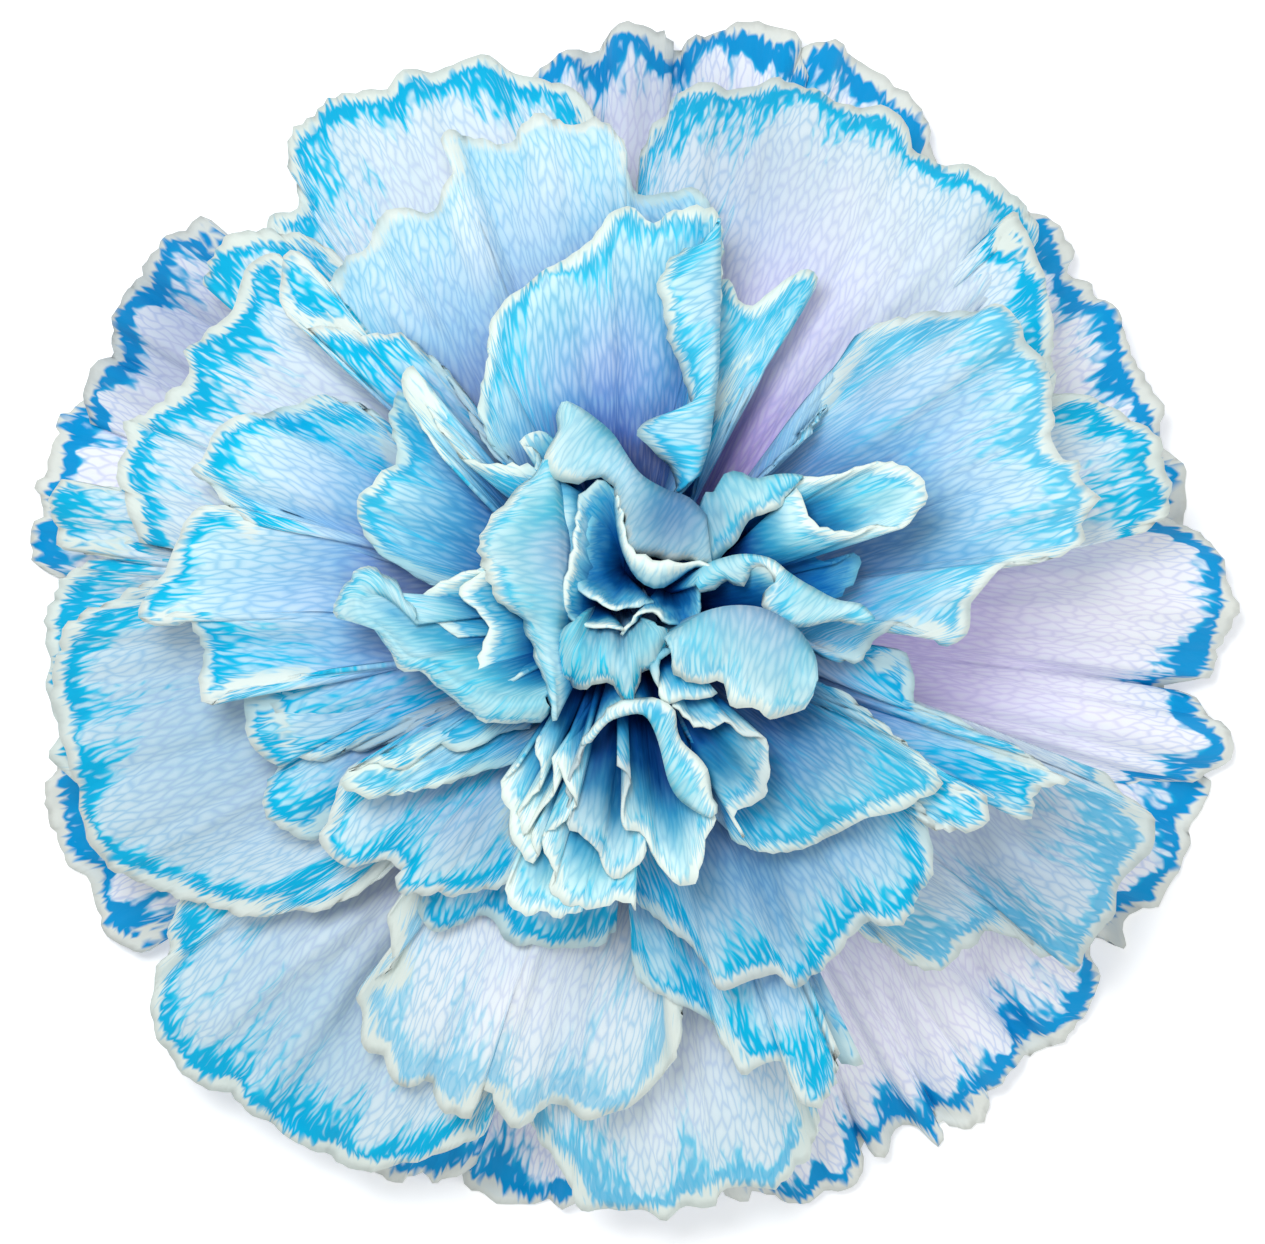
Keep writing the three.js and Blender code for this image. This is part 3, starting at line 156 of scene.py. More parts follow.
# outer_1's pale spot is painted light on its base, where the petals round about shade it.
petal("outer_1", [
    (1.6, 26), (0.6, 28.4), (0.7, 30), (1.6, 32.8), (2.9, 34.3), (5, 35.1), (8.3, 35.2), (9.4, 35.6),
    (11.6, 35.1), (13.2, 34.4), (15, 34.1), (16.2, 34), (18.1, 32.9), (19.2, 31.2), (20.8, 30.1),
    (22.8, 30), (24.2, 28.9), (26.4, 27.7), (27, 26), (26.5, 23.5)],
    hump=8, lilac=[(6, 11, 7, 0.9), (10, 19, 6, 0.4)], pale=[(10, 17, 4, 0.5)], shade=[(7, 29, 7, 0.3)],
    creases=[(10, 18, 15, 34, 1.6, 0.7), (8, 18, 9.4, 35.6, 1.3, -0.6), (16, 20, 22.8, 30, 1.3, -0.7),
    (14, 22, 19.2, 31.4, 1.3, 0.6)])
petal("outer_2", [
    (24.7, 24.6), (25, 26.6), (25.8, 26.8), (26.6, 25), (27.7, 22.8), (27.8, 20.6), (28.1, 18.4),
    (28.2, 16), (27.6, 13.5)],
    lift=2.5)
petal("outer_3", [
    (26.6, 14), (28.3, 14.8), (30.4, 14.6), (32.6, 13.7), (34.6, 12.3), (35.3, 10.5), (36, 8.4),
    (35.7, 6.6), (34.2, 5.6)])
petal("outer_4", [
    (31.5, -10.5), (34.2, -12.9), (35.1, -14), (34.5, -16), (33.2, -17.6), (32, -20), (30.6, -22.2),
    (29.8, -23.8), (28.2, -22.9), (26.2, -21.6), (24.5, -21.1), (22.8, -21.8), (21.2, -23.1),
    (19.8, -23.5), (17.8, -22.7), (15.6, -21.4), (14, -20)],
    band=0.7, shade=[(27, -16, 8, 0.4)], creases=[(20, -14, 28, -22.8, 1, -1),
    (22, -13, 31, -21.6, 1.2, 0.9), (24, -12, 34.4, -16, 1.1, -0.7)])
petal("outer_5", [
    (11.5, -29.5), (12.2, -32.8), (12.3, -35), (12, -36.4), (9.6, -37.9), (7.4, -38.1), (6.3, -38.3),
    (5.6, -39.6), (3.9, -39.6), (2.4, -40.3), (1.2, -39.7), (-1.4, -40.1), (-3.4, -39.5), (-4.2, -37.6),
    (-5.6, -35.6), (-6.8, -33.6), (-7.2, -31.6)],
    lift=-1.5, band=0.7)
petal("outer_6", [
    (3, -24.6), (3.4, -27.4), (2.7, -30), (1, -32), (-1, -33.1), (-3.4, -33.5), (-5.2, -32.7),
    (-6.8, -33.6), (-8.3, -33.8), (-9.5, -31.6), (-10.6, -33.3), (-12.2, -32.7), (-13.5, -31.2),
    (-15.4, -31.4), (-16.3, -29.4), (-17.6, -28.8), (-18, -26.8), (-18.2, -25), (-16.2, -23.8),
    (-15.9, -21.6), (-16.2, -20.2), (-15, -18.4)],
    lift=2, band=0.45, pale=[(-8, -26, 6, 0.4)], creases=[(-5.5, -18, -10.8, -33.2, 0.9, 1.1),
    (-5, -18, -8.4, -33.6, 0.9, 0.8), (-7, -18, -13.5, -31, 1.3, -0.8), (-3, -18, -4.6, -33, 1.5, -0.8)])
petal("outer_7", [
    (-8.6, -31.6), (-9.2, -33.6), (-11.2, -35.4), (-13.6, -36.4), (-16.6, -37), (-19.6, -36.5),
    (-22.2, -35.3), (-24.2, -33.8), (-26.2, -32.3), (-28.6, -31.6), (-30.6, -29.6), (-31.6, -27.8),
    (-32.2, -26.3), (-31.9, -24.2), (-30.7, -22.4), (-30.8, -21), (-29.9, -19), (-28.2, -17.8)],
    lift=-0.5, cyan=[(-22, -27, 8, 0.4)], shade=[(-22, -27, 8, 0.15)],
    creases=[(-14, -17, -28, -27.2, 1.1, 1.3), (-13, -19, -22.6, -33, 1.5, -1.3),
    (-12, -20, -18, -35, 1.3, 0.8), (-15, -16, -31, -23, 1.2, -0.7)])
petal("outer_8", [
    (-15.2, -16.4), (-17.8, -18.4), (-21, -19.6), (-25, -20), (-28.4, -19.1), (-31.6, -18.4), (-34, -17),
    (-35.8, -15.6), (-36.6, -13.6), (-37.2, -11), (-37.6, -8.6), (-38.6, -6), (-38.4, -3.2), (-37.6, -1.2),
    (-36.2, 0), (-34.6, 1), (-32.6, 2), (-30.4, 2.6)],
    lift=1.5, cyan=[(-28, -9, 10, 0.5)], shade=[(-28, -9, 10, 0.25)],
    creases=[(-20, -10, -35, -14, 2.2, 0.7), (-22, -3, -37.5, -5, 2.4, -0.6),
    (-19, -12, -28, -19.4, 1.8, -0.7)])
petal("outer_9", [
    (-36.6, -11.5), (-38.6, -9.8), (-38, -8), (-39, -5.8), (-38.7, -3), (-38.9, 0), (-38.3, 2), (-36, 3.3),
    (-33.5, 4.4), (-30.6, 5), (-28.6, 5)],
    lift=-1)
petal("outer_10", [
    (-33.4, 4.9), (-35.4, 4.2), (-37.9, 4.6), (-38.6, 6.8), (-37.9, 8.7), (-36.6, 8.7), (-34.2, 8.4)],
    lift=-0.5)
petal("outer_11", [
    (-32.6, 4.8), (-33.2, 6.8), (-34.1, 9.4), (-33.6, 11.2), (-33.7, 13.1), (-32.2, 13), (-30.6, 14.8),
    (-29.3, 16.2), (-29.7, 17.6), (-28.2, 18.8), (-26.2, 20.2), (-26.3, 22), (-25.2, 23.6), (-23.4, 24.1),
    (-22.6, 22.6)],
    lift=1.5)
petal("outer_12", [
    (-28.4, 22), (-27.2, 24.7), (-25, 25.5), (-23.6, 25.8), (-21.6, 25.2), (-19.9, 24.2), (-18.6, 22.6)])
petal("outer_13", [
    (-22.6, 24.4), (-24.2, 25.8), (-23.9, 26.7), (-22.1, 27.1), (-22.7, 30.2), (-21.9, 32.8),
    (-19.8, 34.6), (-16.6, 35), (-14.8, 36.5), (-12.6, 36.6), (-9.4, 37.2), (-7, 36.1), (-5, 35.5),
    (-3.2, 34.5), (-2.4, 32.6), (-2, 31)],
    lift=-1.5)
petal("middle_1", [
    (-19.6, 18.8), (-20.2, 21), (-19.2, 23.4), (-17.4, 24.2), (-16.7, 26.2), (-15, 27.1), (-13.2, 26.9),
    (-12, 29), (-11.8, 30.2), (-12.6, 31.5), (-11.8, 32.3), (-9.8, 31.6), (-8, 31.1), (-6.9, 32.6),
    (-5.6, 33.1), (-3.8, 32.5), (-2.3, 32.8), (-0.7, 31.7), (-0.4, 29.8), (0.6, 28.1), (2.4, 28),
    (4.4, 28.3), (5.3, 27), (5, 25)],
    band=0.15, cyan=[(-9, 24, 10, 0.2)], pale=[(-9, 24, 9, 0.3)], creases=[(-8, 18, -12.6, 31.4, 1.2, 0.8),
    (-6, 18, -7.6, 31, 1.3, -0.7), (-9, 16, -19.5, 22, 1.3, 0.7), (-9, 18, -17, 26, 1.3, -0.7),
    (-2, 22, -1, 31, 1.3, 0.6)])
petal("middle_2", [
    (10, 10.4), (12.8, 13.4), (13.8, 16.4), (15.6, 18.7), (19, 19.9), (22.6, 20.3), (25, 20.2), (26.6, 18),
    (27.7, 16.6), (28, 13.6), (28, 11), (29.8, 10.2), (29.8, 8.8), (30.8, 7.7), (29.9, 6.2), (30, 4.8),
    (27.6, 3.6), (24.8, 3.1), (23.1, 1.2), (22.3, -1.2), (21.2, -1.9), (19.6, -1.2), (17.8, -0.6),
    (16.4, -1.6), (15.2, -2.9), (13.2, -2.6), (11.2, -1.2)],
    lift=1, band=0.75, bare=(9, 2), cyan=[(16, 6, 7, 0.5)], shade=[(15.5, 16, 3.2, 0.3),
    (20, 19, 2.5, 0.25), (15, 5, 5, 0.5)], creases=[(11, 8, 25, 19.6, 1.8, 1.5),
    (16, 2, 29.8, 9.4, 1.6, 0.7), (15, 4, 28.4, 13, 1.6, -0.7), (18, 0, 26, 3, 1.1, 0.8)])
petal("middle_3", [
    (16.4, -2.9), (18, -2.3), (18.9, -3.6), (18.9, -5.8), (20.2, -6.9), (22.4, -7.2), (25.2, -8.8),
    (27.6, -10.1), (29.2, -11), (27.8, -11.3), (26.6, -12), (26.7, -13.3), (25.6, -13.2), (23.8, -12),
    (22, -12.5)],
    lift=-1)
petal("middle_4", [
    (19, -12.2), (20, -14.6), (19.9, -17.2), (18.9, -18.6), (18, -20.4), (15.6, -20.5), (13.8, -22),
    (12.2, -23.9), (10.9, -24.8), (9.6, -23.8), (7.8, -24.3), (5.9, -24.7), (4.8, -23.3), (3, -21),
    (1.4, -19.8), (0, -18.6)],
    lift=1, cyan=[(9, -17, 7, 0.5)], shade=[(8, -17, 7, 0.5)], creases=[(8, -12, 11, -24.6, 1.1, -0.8),
    (12, -12, 18, -20, 1.3, 0.7)])
petal("middle_5", [
    (9.8, -23), (10.4, -25.6), (11.2, -26.9), (13, -27.3), (14.6, -28.6), (15.4, -29.8), (14.4, -29.9),
    (13.4, -29)],
    lift=-3.5)
petal("middle_6", [
    (0.2, -22.8), (0.8, -24.6), (2.8, -25.4), (5, -27), (6.4, -28.8), (7.6, -30.6), (9, -29.7),
    (10.3, -30.2), (11.2, -32), (12.7, -32.6), (13.7, -31), (13.6, -28.8), (12.6, -26.8)],
    lift=-2)
petal("middle_7", [
    (-1, -20.8), (-2.4, -21.9), (-4.8, -22.2), (-6.2, -21.7), (-8.2, -21.7), (-9.2, -20.1), (-11.2, -20.6),
    (-13, -20.8), (-14.2, -19.4), (-13.6, -17.5)],
    lift=-3)
petal("middle_8", [
    (-7.6, -12.4), (-7.8, -14.2), (-7.2, -16.2), (-8.4, -17.9), (-10.6, -18.4), (-13.6, -18.4),
    (-15.3, -18.1), (-15.1, -16.7), (-16.6, -16.3), (-18.6, -16.6), (-20.6, -14.9), (-19.9, -13.2),
    (-19.4, -11.2), (-18.6, -10)],
    hollow=0.6, shade=[(-12, -13, 5, 0.3)])
petal("middle_9", [
    (-19.6, -13.4), (-20.8, -14.9), (-22.6, -14.5), (-24, -13), (-24.1, -11.4), (-23.2, -9.8),
    (-22.4, -8.4)],
    lift=-2)
petal("middle_10", [
    (-23, -10), (-24.6, -8.9), (-25.3, -7), (-25.2, -5), (-23.9, -5.7), (-22.7, -7), (-22.4, -8.9),
    (-21.2, -9.6), (-19.4, -9), (-16.4, -8.6), (-14.6, -7.8), (-13.2, -6.6), (-11.6, -6)],
    lift=-1)
petal("middle_11", [
    (-22, -4), (-25.4, -4.9), (-28, -5.8), (-28.4, -4.2), (-28, -2.6), (-28.8, -1), (-29.6, 0.2),
    (-31.2, -0.4), (-32.4, -0.2), (-31.9, 1.6), (-30.2, 4.4), (-29.5, 6.2), (-28.2, 7.3), (-26.4, 7.2),
    (-25, 6)],
    lift=1, creases=[(-17, 0, -31.8, 0, 1.4, 1), (-16, -2, -28.6, -2.4, 1.2, -0.8),
    (-18, 2, -30, 5, 1.6, -0.7)])
petal("middle_12", [
    (-25, 6.2), (-27.2, 7.8), (-29.2, 9.5), (-28.2, 10.6), (-27.4, 12.3), (-26, 13), (-23.4, 13.7),
    (-20.6, 14.3), (-18.2, 13.9), (-16.3, 12.6), (-15.3, 10.8), (-15, 9)],
    creases=[(-15, 6, -28.4, 10.4, 1.4, 0.9), (-14, 7, -23.4, 13.6, 1.3, -0.7)])
petal("middle_13", [
    (-19.8, 21.6), (-22.2, 23.9), (-23.1, 22.6), (-23.2, 21), (-22.6, 19.8), (-21.2, 19), (-19.4, 19.1),
    (-17.2, 18.3), (-15, 18.4), (-13.2, 17.2), (-11.4, 14.8), (-10, 12.2), (-8.8, 10.4)],
    lift=1.5)
petal("inner_1", [
    (-8, 10.2), (-9.6, 12.2), (-9.9, 14.4), (-9.4, 16.4), (-9.4, 18.8), (-8.6, 20.4), (-6.6, 22.1),
    (-4.8, 23.4), (-2.6, 24.8), (-1.2, 26.7), (0, 27), (1.3, 26), (3, 26.6), (4.8, 26.9), (5.9, 26.2),
    (6, 23), (5.9, 19), (5.7, 14.5)],
    lilac=[(0, 14, 5, 0.3)], creases=[(-3, 12, -4.8, 23, 1.2, 0.6), (0, 12, 0, 26.6, 1.2, -0.6)])
petal("inner_1_flap", [
    (5.6, 25.4), (4.4, 24.3), (3, 23.9), (2.1, 22.2), (2.4, 19.4), (3, 16.8), (4.1, 14.4), (3.4, 13.1),
    (1.2, 13), (0.3, 11.8), (2.2, 10.3), (3, 8.6), (2.8, 7.9)],
    fold=[(5.9, 26.2), (5.9, 22), (5.8, 18), (5.6, 14.5), (5.2, 11.6), (4.5, 9.2)])
petal("inner_2", [
    (5.6, 13.4), (7, 15.7), (9.2, 18), (11, 20.2), (12.3, 22.4), (11.4, 22.9), (10, 22.1), (9, 21.3),
    (8, 20.5), (7.1, 21), (6.6, 22.2), (5.6, 22)],
    lift=-3, hollow=0.5)
petal("inner_4", [
    (4.8, -9.6), (5.2, -11.4), (5.7, -13.2), (7.2, -15), (9, -15.8), (11.2, -15.6), (13.2, -14.7),
    (15.2, -13.6), (17.4, -13.2), (19.2, -12.2), (20.6, -11.2), (19, -9.2), (16.6, -7.2), (14, -5)],
    shade=[(11, -8, 6, 0.6)])
petal("inner_5", [
    (19.2, -12.4), (20.2, -14), (21.2, -14.3), (22.8, -14.2), (23.6, -13.2), (23.4, -11.9), (21.6, -11.5)],
    row="middle", lift=2)
petal("inner_6", [
    (-7.4, -9.8), (-9.6, -10.4), (-12, -11), (-15, -11.8), (-17.6, -11.9), (-19, -11), (-17.4, -9.8),
    (-15.2, -10.1), (-14.2, -9.6), (-13.9, -8.6), (-12.8, -8.2), (-11.2, -8.9), (-9.4, -8.1), (-8, -7.5),
    (-6.6, -7.4)])
petal("inner_7", [
    (-13.6, 12.8), (-15.2, 14.6), (-15.8, 12.8), (-15.3, 10.4), (-16.8, 8.8), (-18.1, 7.4), (-17.7, 5.6),
    (-16.6, 4), (-15, 3), (-13, 1.8), (-11.4, 1.4)])
petal("inner_8", [
    (-12.4, 10.2), (-13.8, 12.4), (-15, 14.6), (-14.9, 16), (-14.1, 16.4), (-13.7, 14.4), (-12.4, 12.2),
    (-11.2, 10.6), (-9.2, 9.9), (-7.2, 9.9), (-5.8, 9.6)],
    lift=2)
petal("heart_1", [
    (-6.2, 9.6), (-6.2, 10.8), (-7.2, 11.2), (-6.8, 11.9), (-5.8, 12.2), (-4.7, 11.4)])
petal("heart_2", [
    (-4.3, 13.9), (-4.7, 13.1), (-4.5, 12.1), (-5.2, 10.9), (-5.4, 9.6), (-4, 8.8), (-2.2, 9), (-1.1, 8.2),
    (-0.3, 6.3), (-0.2, 4.6), (0.8, 3.8), (2.6, 3.6), (4.2, 3.4), (5.4, 3.2)],
    lift=0.5, fold_lift=0.6, arch=1.2, band=0.2, lilac=[(0, 9.6, 2, 0.15), (3, 7, 2.4, 0.2)],
    shade=[(2.4, 6, 3.2, 0.8)], fold=[(-4.2, 14), (-3.4, 13.6), (-2.2, 12.7), (-1.2, 11.8), (-0.4, 10.6),
    (0.7, 9.1), (2.4, 8.1), (3.8, 7.6), (4.9, 6.5)])
petal("heart_3", [
    (-0.9, 7.6), (-1.2, 8.6), (-2.2, 8.7), (-3.4, 7.6), (-3.3, 6), (-3.9, 4), (-4.3, 2), (-4.3, 0.2),
    (-3.2, -0.6), (-1.6, -0.9), (-0.4, -1.1)])
petal("heart_4", [
    (5.4, 3.1), (6.2, 3.9), (6.8, 4.6), (7.4, 5.6), (8, 6.3), (9.2, 6.7), (9.8, 6.9), (10.3, 7.7),
    (10.8, 8.4)],
    fold_lift=0.5, arch=0.6, shade=[(5.5, 6.4, 1.3, 0.5)], fold=[(4.8, 6.2), (5.1, 8.1), (5.7, 7.8),
    (6.3, 9.2), (7.4, 9.2), (8.2, 8.8), (9.4, 9.1), (10.6, 9.2), (11.4, 9.1)])
petal("heart_5", [
    (4.6, 1.4), (5.2, 1.6), (6.2, 2.2), (7.2, 2), (8.4, 3.1), (9.1, 2.7), (9.7, 1.6), (8.8, 0.8), (9.2, 0),
    (10.5, -0.7), (12, -0.6), (13.6, -0.3), (15.2, -0.5)],
    fold_lift=0.8, arch=0.6, fold=[(4.4, 2), (4.9, 3.1), (6, 3.6), (7.6, 3.9), (9.3, 3.6), (10.4, 2.7),
    (12, 1.7), (13.6, 0.9), (15.2, 0.6), (16.1, -0.3)])
petal("heart_6", [
    (-4.8, -1.2), (-5, -2.8), (-4.8, -4.3), (-4.3, -4.5), (-4, -4.1), (-3.6, -4.8), (-2.9, -4.8),
    (-2.4, -4.3), (-1.2, -4.6), (-0.6, -5.6), (0.1, -5.8), (0.5, -4.6), (1.1, -3.6), (1.8, -2.9),
    (2.4, -2), (2.4, -1)],
    lift=-0.6, hump=8, root=(-1, 0.6), band=1.6, hollow=0.35)
petal("heart_7", [
    (2.9, -2.4), (2.8, -3.7), (3.4, -4.4), (4.4, -4.6), (6.1, -4.5), (6.5, -6), (7.5, -6.2), (8.3, -6.2),
    (9, -6.9), (10.4, -6.8), (11.6, -6), (12.1, -4.8)],
    lift=0.8, fold_lift=0.2, arch=1.2, band=0.6, hollow=0.5, pale=[(8, -2.4, 3.4, 0.25)],
    fold=[(2.3, -1.6), (3.6, -0.8), (5, 0.1), (6.6, 0.5), (8.5, 0.4), (10, -0.3), (11.2, -1.3),
    (12.1, -2.8), (12.3, -4.2)])
petal("heart_8", [
    (3.2, -2.2), (2, -2.8), (1.7, -4.2), (2.2, -5.8), (3.6, -5.6), (5, -5.6), (5.8, -5.2)],
    hump=3)
petal("heart_9", [
    (2.8, -6), (4.2, -7.1), (5.2, -7.5), (6.4, -7.2), (7.6, -8), (8.8, -8.2), (9.2, -9.6), (9, -11.8),
    (7.8, -12.7), (6.9, -13.1), (7.6, -14.6)],
    shade=[(7, -10, 3, 0.5)])
petal("heart_10", [
    (-3.2, -8.6), (-2.4, -7.3), (-1.2, -6.2), (0, -5.7), (1.2, -5.6), (2, -5.8), (2.7, -6.2), (2.9, -7.2),
    (3.3, -8.2), (4.2, -9.2), (5, -10.2), (5.2, -11.4), (5.7, -13)],
    fold_lift=0.3, arch=0.4, fold=[(-2.6, -8.3), (-1.6, -7.1), (-0.6, -6.6), (0.6, -6.4), (1.3, -6.8),
    (1.8, -7.8), (2.2, -9.2), (2.6, -10.8), (3.3, -12), (4.6, -13), (5.3, -13.3)])
petal("heart_11", [
    (-3, -8.4), (-3.8, -10.4), (-4, -12.6), (-3.8, -14.2), (-2.6, -14.8), (-1.9, -16.2), (-1, -17.3),
    (0.2, -16.8), (1.2, -15.6)],
    shade=[(-2, -11, 4, 0.6)])
petal("heart_12", [
    (-0.9, -10), (0, -10.8), (-0.8, -12.8), (-0.4, -14.2), (0.8, -14.4), (1.4, -15.6), (2.6, -17.3),
    (3.6, -17.9), (4.6, -17.2), (4.8, -15.6), (5.5, -13.4)],
    shade=[(1.5, -10, 3, 0.6)])
petal("heart_13", [
    (-7.4, -9.9), (-8.5, -11.4), (-7.9, -13.2), (-7.7, -14.8), (-6.8, -16.2), (-6.2, -15.9),
    (-6.6, -14.4)])
petal("heart_14", [
    (-6, -8.2), (-6.1, -9.4), (-5.7, -10.6), (-6.6, -12.2), (-7.3, -13.4), (-6.8, -14.6), (-5.6, -12.6),
    (-4.9, -11.2), (-5, -9.4)])
petal("heart_15", [
    (-4.9, -9.8), (-4.2, -11.4), (-3.7, -12.6), (-4.4, -13.7), (-5.6, -14.4), (-5.6, -15.8), (-4.9, -16.8),
    (-5.2, -18.2), (-4.2, -19), (-2.4, -19.3), (-0.6, -18.8), (0.4, -19.4)])
petal("heart_16", [
    (-8.1, -17.6), (-8.1, -18.8), (-7, -19.8), (-5.8, -19.5), (-4.6, -19.9), (-3.2, -19.4)])
petal("heart_17", [
    (-5.7, 10.2), (-6.6, 8.9), (-7.9, 7.6), (-9.3, 6), (-10, 4.1), (-9.3, 2.4), (-8.4, 1), (-7.4, 0.1),
    (-6.9, -1.1), (-6.2, -2.7), (-5.6, -4.2), (-5.3, -5.6), (-5.1, -7)],
    fold_lift=0.8, arch=0.8, creases=[(-7.8, 7.4, -7.2, 0.4, 0.6, -0.4)], fold=[(-5.4, 10.2), (-5.1, 8.4),
    (-4.9, 6.4), (-4.8, 4.2), (-4.8, 2), (-4.9, -0.2), (-5, -2.4), (-4.9, -4.6), (-4.9, -6.9)])
petal("heart_19", [
    (-9.6, 3.2), (-11.4, 2.6), (-13.2, 1.7), (-14.2, 0.3), (-13, -0.5), (-11.4, -1.6)])
petal("heart_20", [
    (-9.6, 3), (-11.1, 2), (-11.2, 1.2), (-10, 0.1), (-9.3, -0.8), (-9.9, -2.8), (-9.8, -4), (-8.4, -4.4),
    (-7.2, -4)])
petal("heart_21", [
    (-14.3, 0.5), (-15.6, 2), (-17.2, 3.2), (-18.8, 2), (-19.5, 0), (-18.4, -0.1), (-16.9, -1.2),
    (-15.8, -2.5), (-14.9, -3.7), (-13.5, -3.8), (-12.2, -5.2), (-10.4, -6.5), (-8.2, -7), (-6.2, -7),
    (-5.2, -6.2)],
    fold=[(-14, -0.6), (-15.4, 0.8), (-16.8, 1.5), (-17.5, 0.9), (-17.2, 0), (-15.4, -1.6), (-14.4, -2.8),
    (-13, -3), (-11, -4.4), (-8.4, -5.4), (-5.6, -5.4)])
petal("heart_22", [
    (10.9, 8.3), (11.3, 7.8), (11.7, 6.6), (12.6, 5.8), (13.8, 5.6), (15, 5.4), (16.4, 5.6), (17.6, 6),
    (18.8, 6.6), (19.4, 7.4), (19.5, 8.4), (18.8, 9.4), (17.6, 10), (16.4, 10.1), (15, 9.7), (14.2, 9.4),
    (12.4, 9.2), (11.4, 9.2)],
    lift=0.5)
petal("heart_23", [
    (9, 4.9), (10.2, 5.4), (10.9, 5.7), (11.5, 5), (12.2, 3.9), (13, 3.5), (14, 3.7), (15.1, 4.1),
    (15.1, 3), (14.6, 2), (13.5, 1)],
    lift=-3)
petal("heart_24", [
    (-0.6, -1.3), (0, -0.5), (0.6, 0.2), (1.2, 0.5), (1.7, 0.2), (2.3, -0.5), (3.1, -0.9), (3.9, -0.8),
    (4.5, -0.1), (4.6, 0.9), (4.5, 1.8), (4.7, 2.9)],
    lift=-0.5, root=(2.2, 2.6), band=0.8)
petal("heart_25", [
    (-2, 7.8), (-2.6, 6.6), (-3.2, 4.9), (-3.6, 3.2), (-3.5, 1.7), (-2.9, 1.1), (-2.2, 0.9), (-1.5, 0.4),
    (-0.2, 0.35), (0.9, 0.5), (1.6, 0.7)],
    lift=-1.2, root=(0.2, 3.4), band=0.6)
petal("heart_26", [
    (-5.4, 9.3), (-5.1, 8), (-4.9, 6.4), (-4.8, 4.6), (-4.6, 3), (-4.5, 1.6)],
    lift=-0.6, hump=3, root=(-1.8, 6), band=0)
petal("heart_27", [
    (-0.8, 8.2), (-0.55, 7), (-0.35, 5.8), (-0.05, 4.5), (0.7, 3.85), (1.8, 3.65), (3, 3.55), (4.3, 3.5),
    (5.5, 3.1)],
    lift=1, root=(1.6, 5), fold_lift=-1.6, arch=0.5, band=0, fold=[(-1, 8.2), (-0.95, 7), (-0.75, 5.6),
    (-0.4, 4.2), (0.3, 2.8), (1.1, 2.05), (2, 1.85), (3, 2.4), (4.3, 3.2), (5.4, 3)])

def even_line(points, count):
    """Points at equal distances along a smooth line through the given ones, and the line's length."""
    points = np.array(points, float)
    last = len(points) - 1
    dense = []
    for i in range(last):
        a, b, c, d = (points[min(max(k, 0), last)] for k in (i - 1, i, i + 1, i + 2))
        for t in np.arange(CURVE_STEPS) / CURVE_STEPS:
            dense.append(0.5 * (2 * b + (c - a) * t + (2 * a - 5 * b + 4 * c - d) * t ** 2
                                + (3 * b - a - 3 * c + d) * t ** 3))
    dense = np.array(dense + [points[-1]])
    travelled = np.concatenate([[0], np.cumsum(np.linalg.norm(np.diff(dense, axis=0), axis=1))])
    wanted = np.linspace(0, travelled[-1], count + 1)
    return np.stack([np.interp(wanted, travelled, dense[:, k]) for k in range(2)], axis=1), travelled[-1]


def margin_height(row, plan, lift):
    """Height of the row's margin over plan points, lower the further out they are."""
    return row["edge_z"] + (row["edge_r"] - np.hypot(plan[..., 0], plan[..., 1])) * row["slope"] + lift


def row_wave(row, x, y):
    """Ruffles shared by the whole row, so that neighbours lie in each other's hollows."""
    turn = np.arctan2(y, x)
    broad, narrow = row["waves"]
    return row["wave_height"] * (0.6 * np.sin(broad * turn + 1.3) + 0.4 * np.sin(narrow * turn + 0.4))


def bezier(p0, p1, p2, p3, t):
    s = 1 - t
    return p0 * s ** 3 + 3 * p1 * s * s * t + 3 * p2 * s * t * t + p3 * t ** 3


def smooth(x, low, high):
    """0 below low, 1 above high, and an even S-shaped rise between them."""
    t = np.clip((x - low) / (high - low), 0, 1)
    return t * t * (3 - 2 * t)


def crease_height(x, y, crease):
    """Height of a ridge, or of a groove where negative, along a line from one plan point to another."""
    x0, y0, x1, y1, width, height = crease
    run_x, run_y = x1 - x0, y1 - y0
    t = np.clip(((x - x0) * run_x + (y - y0) * run_y) / (run_x ** 2 + run_y ** 2), 0, 1)
    gap = np.hypot(x - x0 - t * run_x, y - y0 - t * run_y)
    return height * np.exp(-(gap / width) ** 2) * smooth(t, 0, CREASE_START)


def spot(x, y, spots):
    """How strongly round spots, given as x, y, radius and strength, tint each point."""
    amount = np.zeros_like(x)
    for centre_x, centre_y, radius, strength in spots:
        amount = np.maximum(amount, strength * np.exp(-(np.hypot(x - centre_x, y - centre_y) / radius) ** 2))
    return amount


def frill_along(length, count, seed):
    """A wavy value along the margin, between about -1 and 1, from a few sine waves of unequal lengths."""
    dice = random.Random(seed)
    s = np.linspace(0, length, count + 1)
    value = np.zeros(count + 1)
    for pitch, share in FRILL_WAVES:
        value += share * np.sin(FULL_TURN * s / (pitch * dice.uniform(0.85, 1.15)) + dice.uniform(0, 6.28))
    return value


def teeth_along(length, count, seed):
    """Rounded teeth of the margin, 0 in the notches and up to 1 at the tips."""
    dice = random.Random(seed)
    s = np.linspace(0, length, count + 1)
    drift = 0.5 * np.sin(s / 3.1 + dice.uniform(0, 6.28)) + 0.4 * np.sin(s / 1.7 + dice.uniform(0, 6.28))
    size = 0.6 + 0.4 * np.sin(s / 4.3 + dice.uniform(0, 6.28))
    return np.abs(np.sin(math.pi * (s / TOOTH_PITCH + drift))) * size


